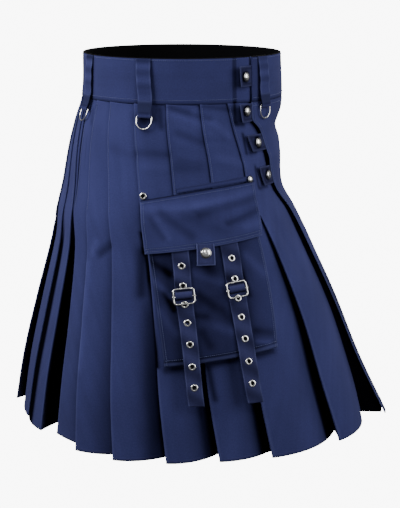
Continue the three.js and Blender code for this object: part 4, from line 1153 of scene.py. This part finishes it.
for side, strap in STRAPS.items():
    count = 150
    z = np.linspace(strap["start"], strap["end"], count)
    s = np.linspace(0, 1, count)
    origin, along, down, off = frame_at(strap_centre(strap, z), z, strap_out(z) + 0.7)
    width = mix(strap["wide"], strap["narrow"], s)
    sections, flat_count = strip_sections(origin, along, off, width, 1.4, 13)
    width = np.linspace(-1, 1, flat_count)
    top = sections[:, :flat_count]
    slant = 0.45 * np.sin(s[:, None] * 38 + width[None, :] * 1.1 + (1 if side == "left" else 2.2))
    top += (slant * (0.5 + 0.5 * np.sin(s * 17)[:, None]))[..., None] * off[:, None]
    # Paler at its edges, partly as wear and partly as a painted highlight
    edge = np.zeros(sections.shape[:2])
    edge[:, [0, flat_count - 1]] = 0.16
    # Painted shade on the strap's face: faint all over, in slanting bands, and darker above and below the
    # buckle
    shade = np.zeros(sections.shape[:2])
    wave = np.sin(s[:, None] * 38 + width[None, :] * 1.1 + 2.6)
    from_buckle = z - strap["buckle"]
    by_buckle = bell(from_buckle - 17, 9) + bell(from_buckle + 16, 6)
    shade[:, :flat_count] = 0.26 + 0.26 * wave + 0.30 * by_buckle[:, None]
    loft(f"pocket_strap_{side}", sections, [STRAP_NAVY], nodes=[f"strap_{side}"], deep=shade, rub_and_highlight=edge)

# %% Eyelets and corner studs
t = np.radians(np.linspace(0, 180, 9))
# The third column is painted shade on the inner half of each ring, next to its hole
ring_profile = np.stack([3.95 - 1.55 * np.cos(t), 0.1 + 0.95 * np.sin(t), ease(np.cos(t) * 1.6)], -1)
low_stud = frame_at(135.8, -205.5, 0.9)
holes = []
for side, strap in STRAPS.items():
    frames = [frame_at(strap_centre(strap, z), z, float(strap_out(z)) + 1.5) for z in strap["eyelets"]]
    nodes = [f"eyelet_{side}_{k}" for k in range(1, 8)]
    turned(f"strap_eyelets_{side}", ring_profile, frames, NICKEL, nodes, 24)
    holes += frames
turned("pocket_stud_left", ring_profile, [low_stud], NICKEL, ["pocket_rivet_left"], 24)
high_stud = frame_at(77.8, -186.6, 4.0)
turned("pocket_stud_right", cap_profile(5.2, 2.6), [high_stud], NICKEL, ["pocket_rivet_right"])

# Each hole is shown by a flat black disc of painted shade in the middle of its ring
disc = [[0.02, 0.05, 0], [2.6, 0.05, 0], [2.6, 0.3, 0], [0.02, 0.3, 0]]
turned("eyelet_holes", disc, [*holes, low_stud], SHADE_BLACK, [], 18)

# %% [markdown]
# Each buckle is a rounded frame of flattened wire with a bar across it. The small roll of cloth
# wraps the bar and is sewn to the strap, so the buckle lies a little askew on it.

# %% Buckles
HALF_WIDE, HALF_TALL, ROUND = 15.6, 11.5, 4.5
q = np.radians(np.linspace(0, 90, 9))
turns = [(1, 1, 0), (-1, 1, 90), (-1, -1, 180), (1, -1, 270)]
frame_shape = np.vstack([
    np.stack([sx * (HALF_WIDE - ROUND) + ROUND * np.cos(q + np.radians(d)),
              sy * (HALF_TALL - ROUND) + ROUND * np.sin(q + np.radians(d))], -1)
    for sx, sy, d in turns])
frame_line = even_line(frame_shape, 96)
for side, strap in STRAPS.items():
    z = strap["buckle"]
    origin, along, down, off = frame_at(strap_centre(strap, z), z, float(strap_out(z)) + 1.4)
    tilt = 0.1
    cross_way = unit(along * np.cos(tilt) + down * np.sin(tilt))
    down_way = unit(down - cross_way * (down @ cross_way))
    centre = origin + 2.9 * off
    line = centre + frame_line[:, :1] * cross_way + frame_line[:, 1:] * down_way
    wire_ring(f"buckle_frame_{side}", line, off, 1.3, 1.2, [NICKEL], "kilt", [f"buckle_{side}"], 14)
    a = np.linspace(0, 2 * np.pi, 14, endpoint=False)
    x = np.array([-18.0, -17.7, -16.7, -14.2, 14.2, 16.7, 17.7, 18.0])
    r = np.array([0.3, 1.2, 1.6, 1.1, 1.1, 1.6, 1.2, 0.3])
    bar = (centre + x[:, None, None] * cross_way
           + r[:, None, None] * (np.cos(a)[None, :, None] * down_way + np.sin(a)[None, :, None] * off))
    loft(f"buckle_pin_{side}", bar, [NICKEL], nodes=[f"buckle_bar_{side}"])
    roll = smooth_path([(-6.9, -2.2), (-6, 0.4), (-3.8, 2), (0, 2.4), (3, 1.4), (4.6, -2.2)], 26)
    line = centre + roll[:, :1] * down_way + roll[:, 1:] * off
    travel = unit(np.gradient(line, axis=0))
    normal = unit(np.cross(travel, cross_way))
    normal = normal * np.sign(normal[12] @ off)
    sections, count = strip_sections(line, np.broadcast_to(cross_way, line.shape), normal, 25.2, 1.2, 17)
    # Painted shade on the roll, darker towards both ends where it goes down to the strap, most at the
    # second
    shade = 0.75 * ease((np.arange(26) - 13) / 9) + 0.25 * ease((7 - np.arange(26)) / 5)
    shade = shade[:, None] + np.zeros((1, sections.shape[1]))
    loft(f"buckle_roll_{side}", sections, [STRAP_NAVY], nodes=[f"buckle_loop_{side}"], deep=shade)

# %% [markdown]
# Top-stitching is what makes a garment look sewn. Each stitch is a short round piece of thread
# that dives into the cloth at both ends. One function lays stitches along any line on the
# cloth, at 3.2 mm a stitch, which is a usual length for heavy twill.


# %% Rows of stitches
def stitch_points(line, off, pitch=3.2, length=2.3, radius=0.30):
    """Stitches along a line: a tapered five-sided bead at each even step, lifted off the cloth."""
    s = steps_along(line)
    at = np.arange(pitch, s[-1] - pitch / 2, pitch)
    if len(at) < 2:
        return np.zeros((0, 3))
    place = np.stack([np.interp(at, s, line[:, k]) for k in range(3)], -1)
    ahead = np.stack([np.interp(at + 0.4, s, line[:, k]) for k in range(3)], -1)
    travel = unit(ahead - place)
    lift = unit(np.stack([np.interp(at, s, off[:, k]) for k in range(3)], -1))
    side = unit(np.cross(lift, travel))
    ring = np.linspace(0, 2 * np.pi, 5, endpoint=False)
    stops = np.array([(-0.5, 0.35, -0.25), (-0.25, 1.0, 0.1), (0.25, 1.0, 0.1), (0.5, 0.35, -0.25)])
    body = (place[:, None, None] + travel[:, None, None] * (stops[:, 0] * length)[None, :, None, None]
            + lift[:, None, None] * (stops[:, 2])[None, :, None, None])
    round_it = (side[:, None, None] * np.cos(ring)[None, None, :, None]
                + lift[:, None, None] * np.sin(ring)[None, None, :, None])
    return (body + round_it * (stops[:, 1] * radius)[None, :, None, None]).reshape(-1, 3)


def sew(name, rows):
    """Joins rows of stitches, each a line with its off directions, into one piece of thread."""
    points = np.vstack([stitch_points(np.asarray(line), np.asarray(off)) for line, off in rows])
    count = len(points) // 20
    part = grid_faces(4, 5, close_cols=True)
    ends = np.array([[0, 1, 2, -1], [0, 2, 3, -1], [0, 3, 4, -1],
                     [17, 16, 15, -1], [18, 17, 15, -1], [19, 18, 15, -1]])
    one = np.vstack([part, ends])
    if signed_volume(points[:20] - points[:20].mean(0), part) < 0:
        one = np.vstack([part[:, ::-1], ends[:, [1, 0, 2, 3]]])
    faces = (one[None] + 20 * np.arange(count)[:, None, None] * (one[None] >= 0)).reshape(-1, 4)
    own(put_mesh(name, points, faces, [THREAD], points[:, :2]))
    print(name, "stitches:", count)


def on_skin(angle, z, out):
    """A line on the skin with its off directions."""
    angle, z, out = np.broadcast_arrays(np.asarray(angle, float), np.asarray(z, float), out)
    origin, _, _, off = frame_at(angle, z, out)
    return origin, off


def grid_row(grid, u=None, v=None):
    """A line along a grid of cloth at a share of its width or height, with the grid's normals."""
    rows, cols = grid.shape[:2]
    dv, du = np.gradient(grid, axis=0), np.gradient(grid, axis=1)
    normal = unit(np.cross(du, dv))
    away = np.stack([grid[..., 0], grid[..., 1] + 5, 0 * grid[..., 0]], -1)
    normal = normal * np.sign(np.sum(normal * away, -1, keepdims=True))
    if u is not None:
        c = np.broadcast_to(np.asarray(u) * (cols - 1), rows)
        i = np.clip(np.floor(c).astype(int), 0, cols - 2)
        t = (c - i)[:, None]
        r = np.arange(rows)
        return mix(grid[r, i], grid[r, i + 1], t) + 0.15 * normal[r, i], normal[r, i]
    k = v * (rows - 1)
    i = min(int(k), rows - 2)
    return mix(grid[i], grid[i + 1], k - i) + 0.15 * normal[i], normal[i]


# %% Stitching on the band, apron and pocket
around = np.linspace(79, 430, 700)
band_rows = [on_skin(around, z, band_out(around) + 0.15 + band_wave(around, z)) for z in (-3.6, -63.0)]
sew("stitching_band", band_rows)
share = 6.0 / (2 * 66 / per_mm(np.linspace(BAND, HEM, 130)))
sew("stitching_apron", [grid_row(apron_grid, u=share), grid_row(apron_grid, u=1 - share),
                        grid_row(apron_grid, v=0.972), grid_row(apron_grid, v=0.012)])
flap_rows = [grid_row(flap_grid, v=1 - up / FLAP_TALL) for up in FLAP_ROWS]
flap_rows += [grid_row(flap_grid, v=0.06)]
front_rows = [grid_row(front, v=0.957)]
for rows, grid, wide in ((flap_rows, flap_grid, FLAP_WIDE), (front_rows, front, BAG_WIDE)):
    rows += [grid_row(grid, u=SIDE_ROW / wide), grid_row(grid, u=1 - SIDE_ROW / wide)]
sew("stitching_pocket", flap_rows + front_rows)

# %% Stitching on the pleats
def fold_stitches(folds, mirror):
    """Rows 2.4 mm inside each fold edge, from the band down to the fell."""
    z = np.linspace(BAND - 3, FELL, 60)
    rows = []
    for row in folds:
        fold = dict(zip(FOLD_COLUMNS.split(), row))
        angle = fold_angle(fold, z) - 2.4 * per_mm(z)
        crease_rows = CREASES_LEFT if mirror else CREASES_RIGHT
        level = creases(crease_rows, angle, z) * ease((BAND - 4 - z) / 20) + 0.05
        rows.append(on_skin(-angle if mirror else angle, z, level))
    return rows


sew("stitching_pleats_right", fold_stitches(FOLDS_RIGHT, False))
sew("stitching_pleats_left", fold_stitches(FOLDS_LEFT, True))

# %% [markdown]
# The kilt is held up at the waist, a metre over the floor, as it would be worn. The floor is a
# small round of white paper, straight below.

# %% Floor
turn = np.linspace(0, 2 * np.pi, 65)[None, :]
far = np.array([0.5, 420.0])[:, None]
floor_grid = np.stack([far * np.cos(turn), far * np.sin(turn), -1000.0 + 0 * far * turn], -1)
floor_points = floor_grid.reshape(-1, 3)
floor = put_mesh("floor", floor_points, grid_faces(2, 65), [PAPER], floor_points[:, :2])
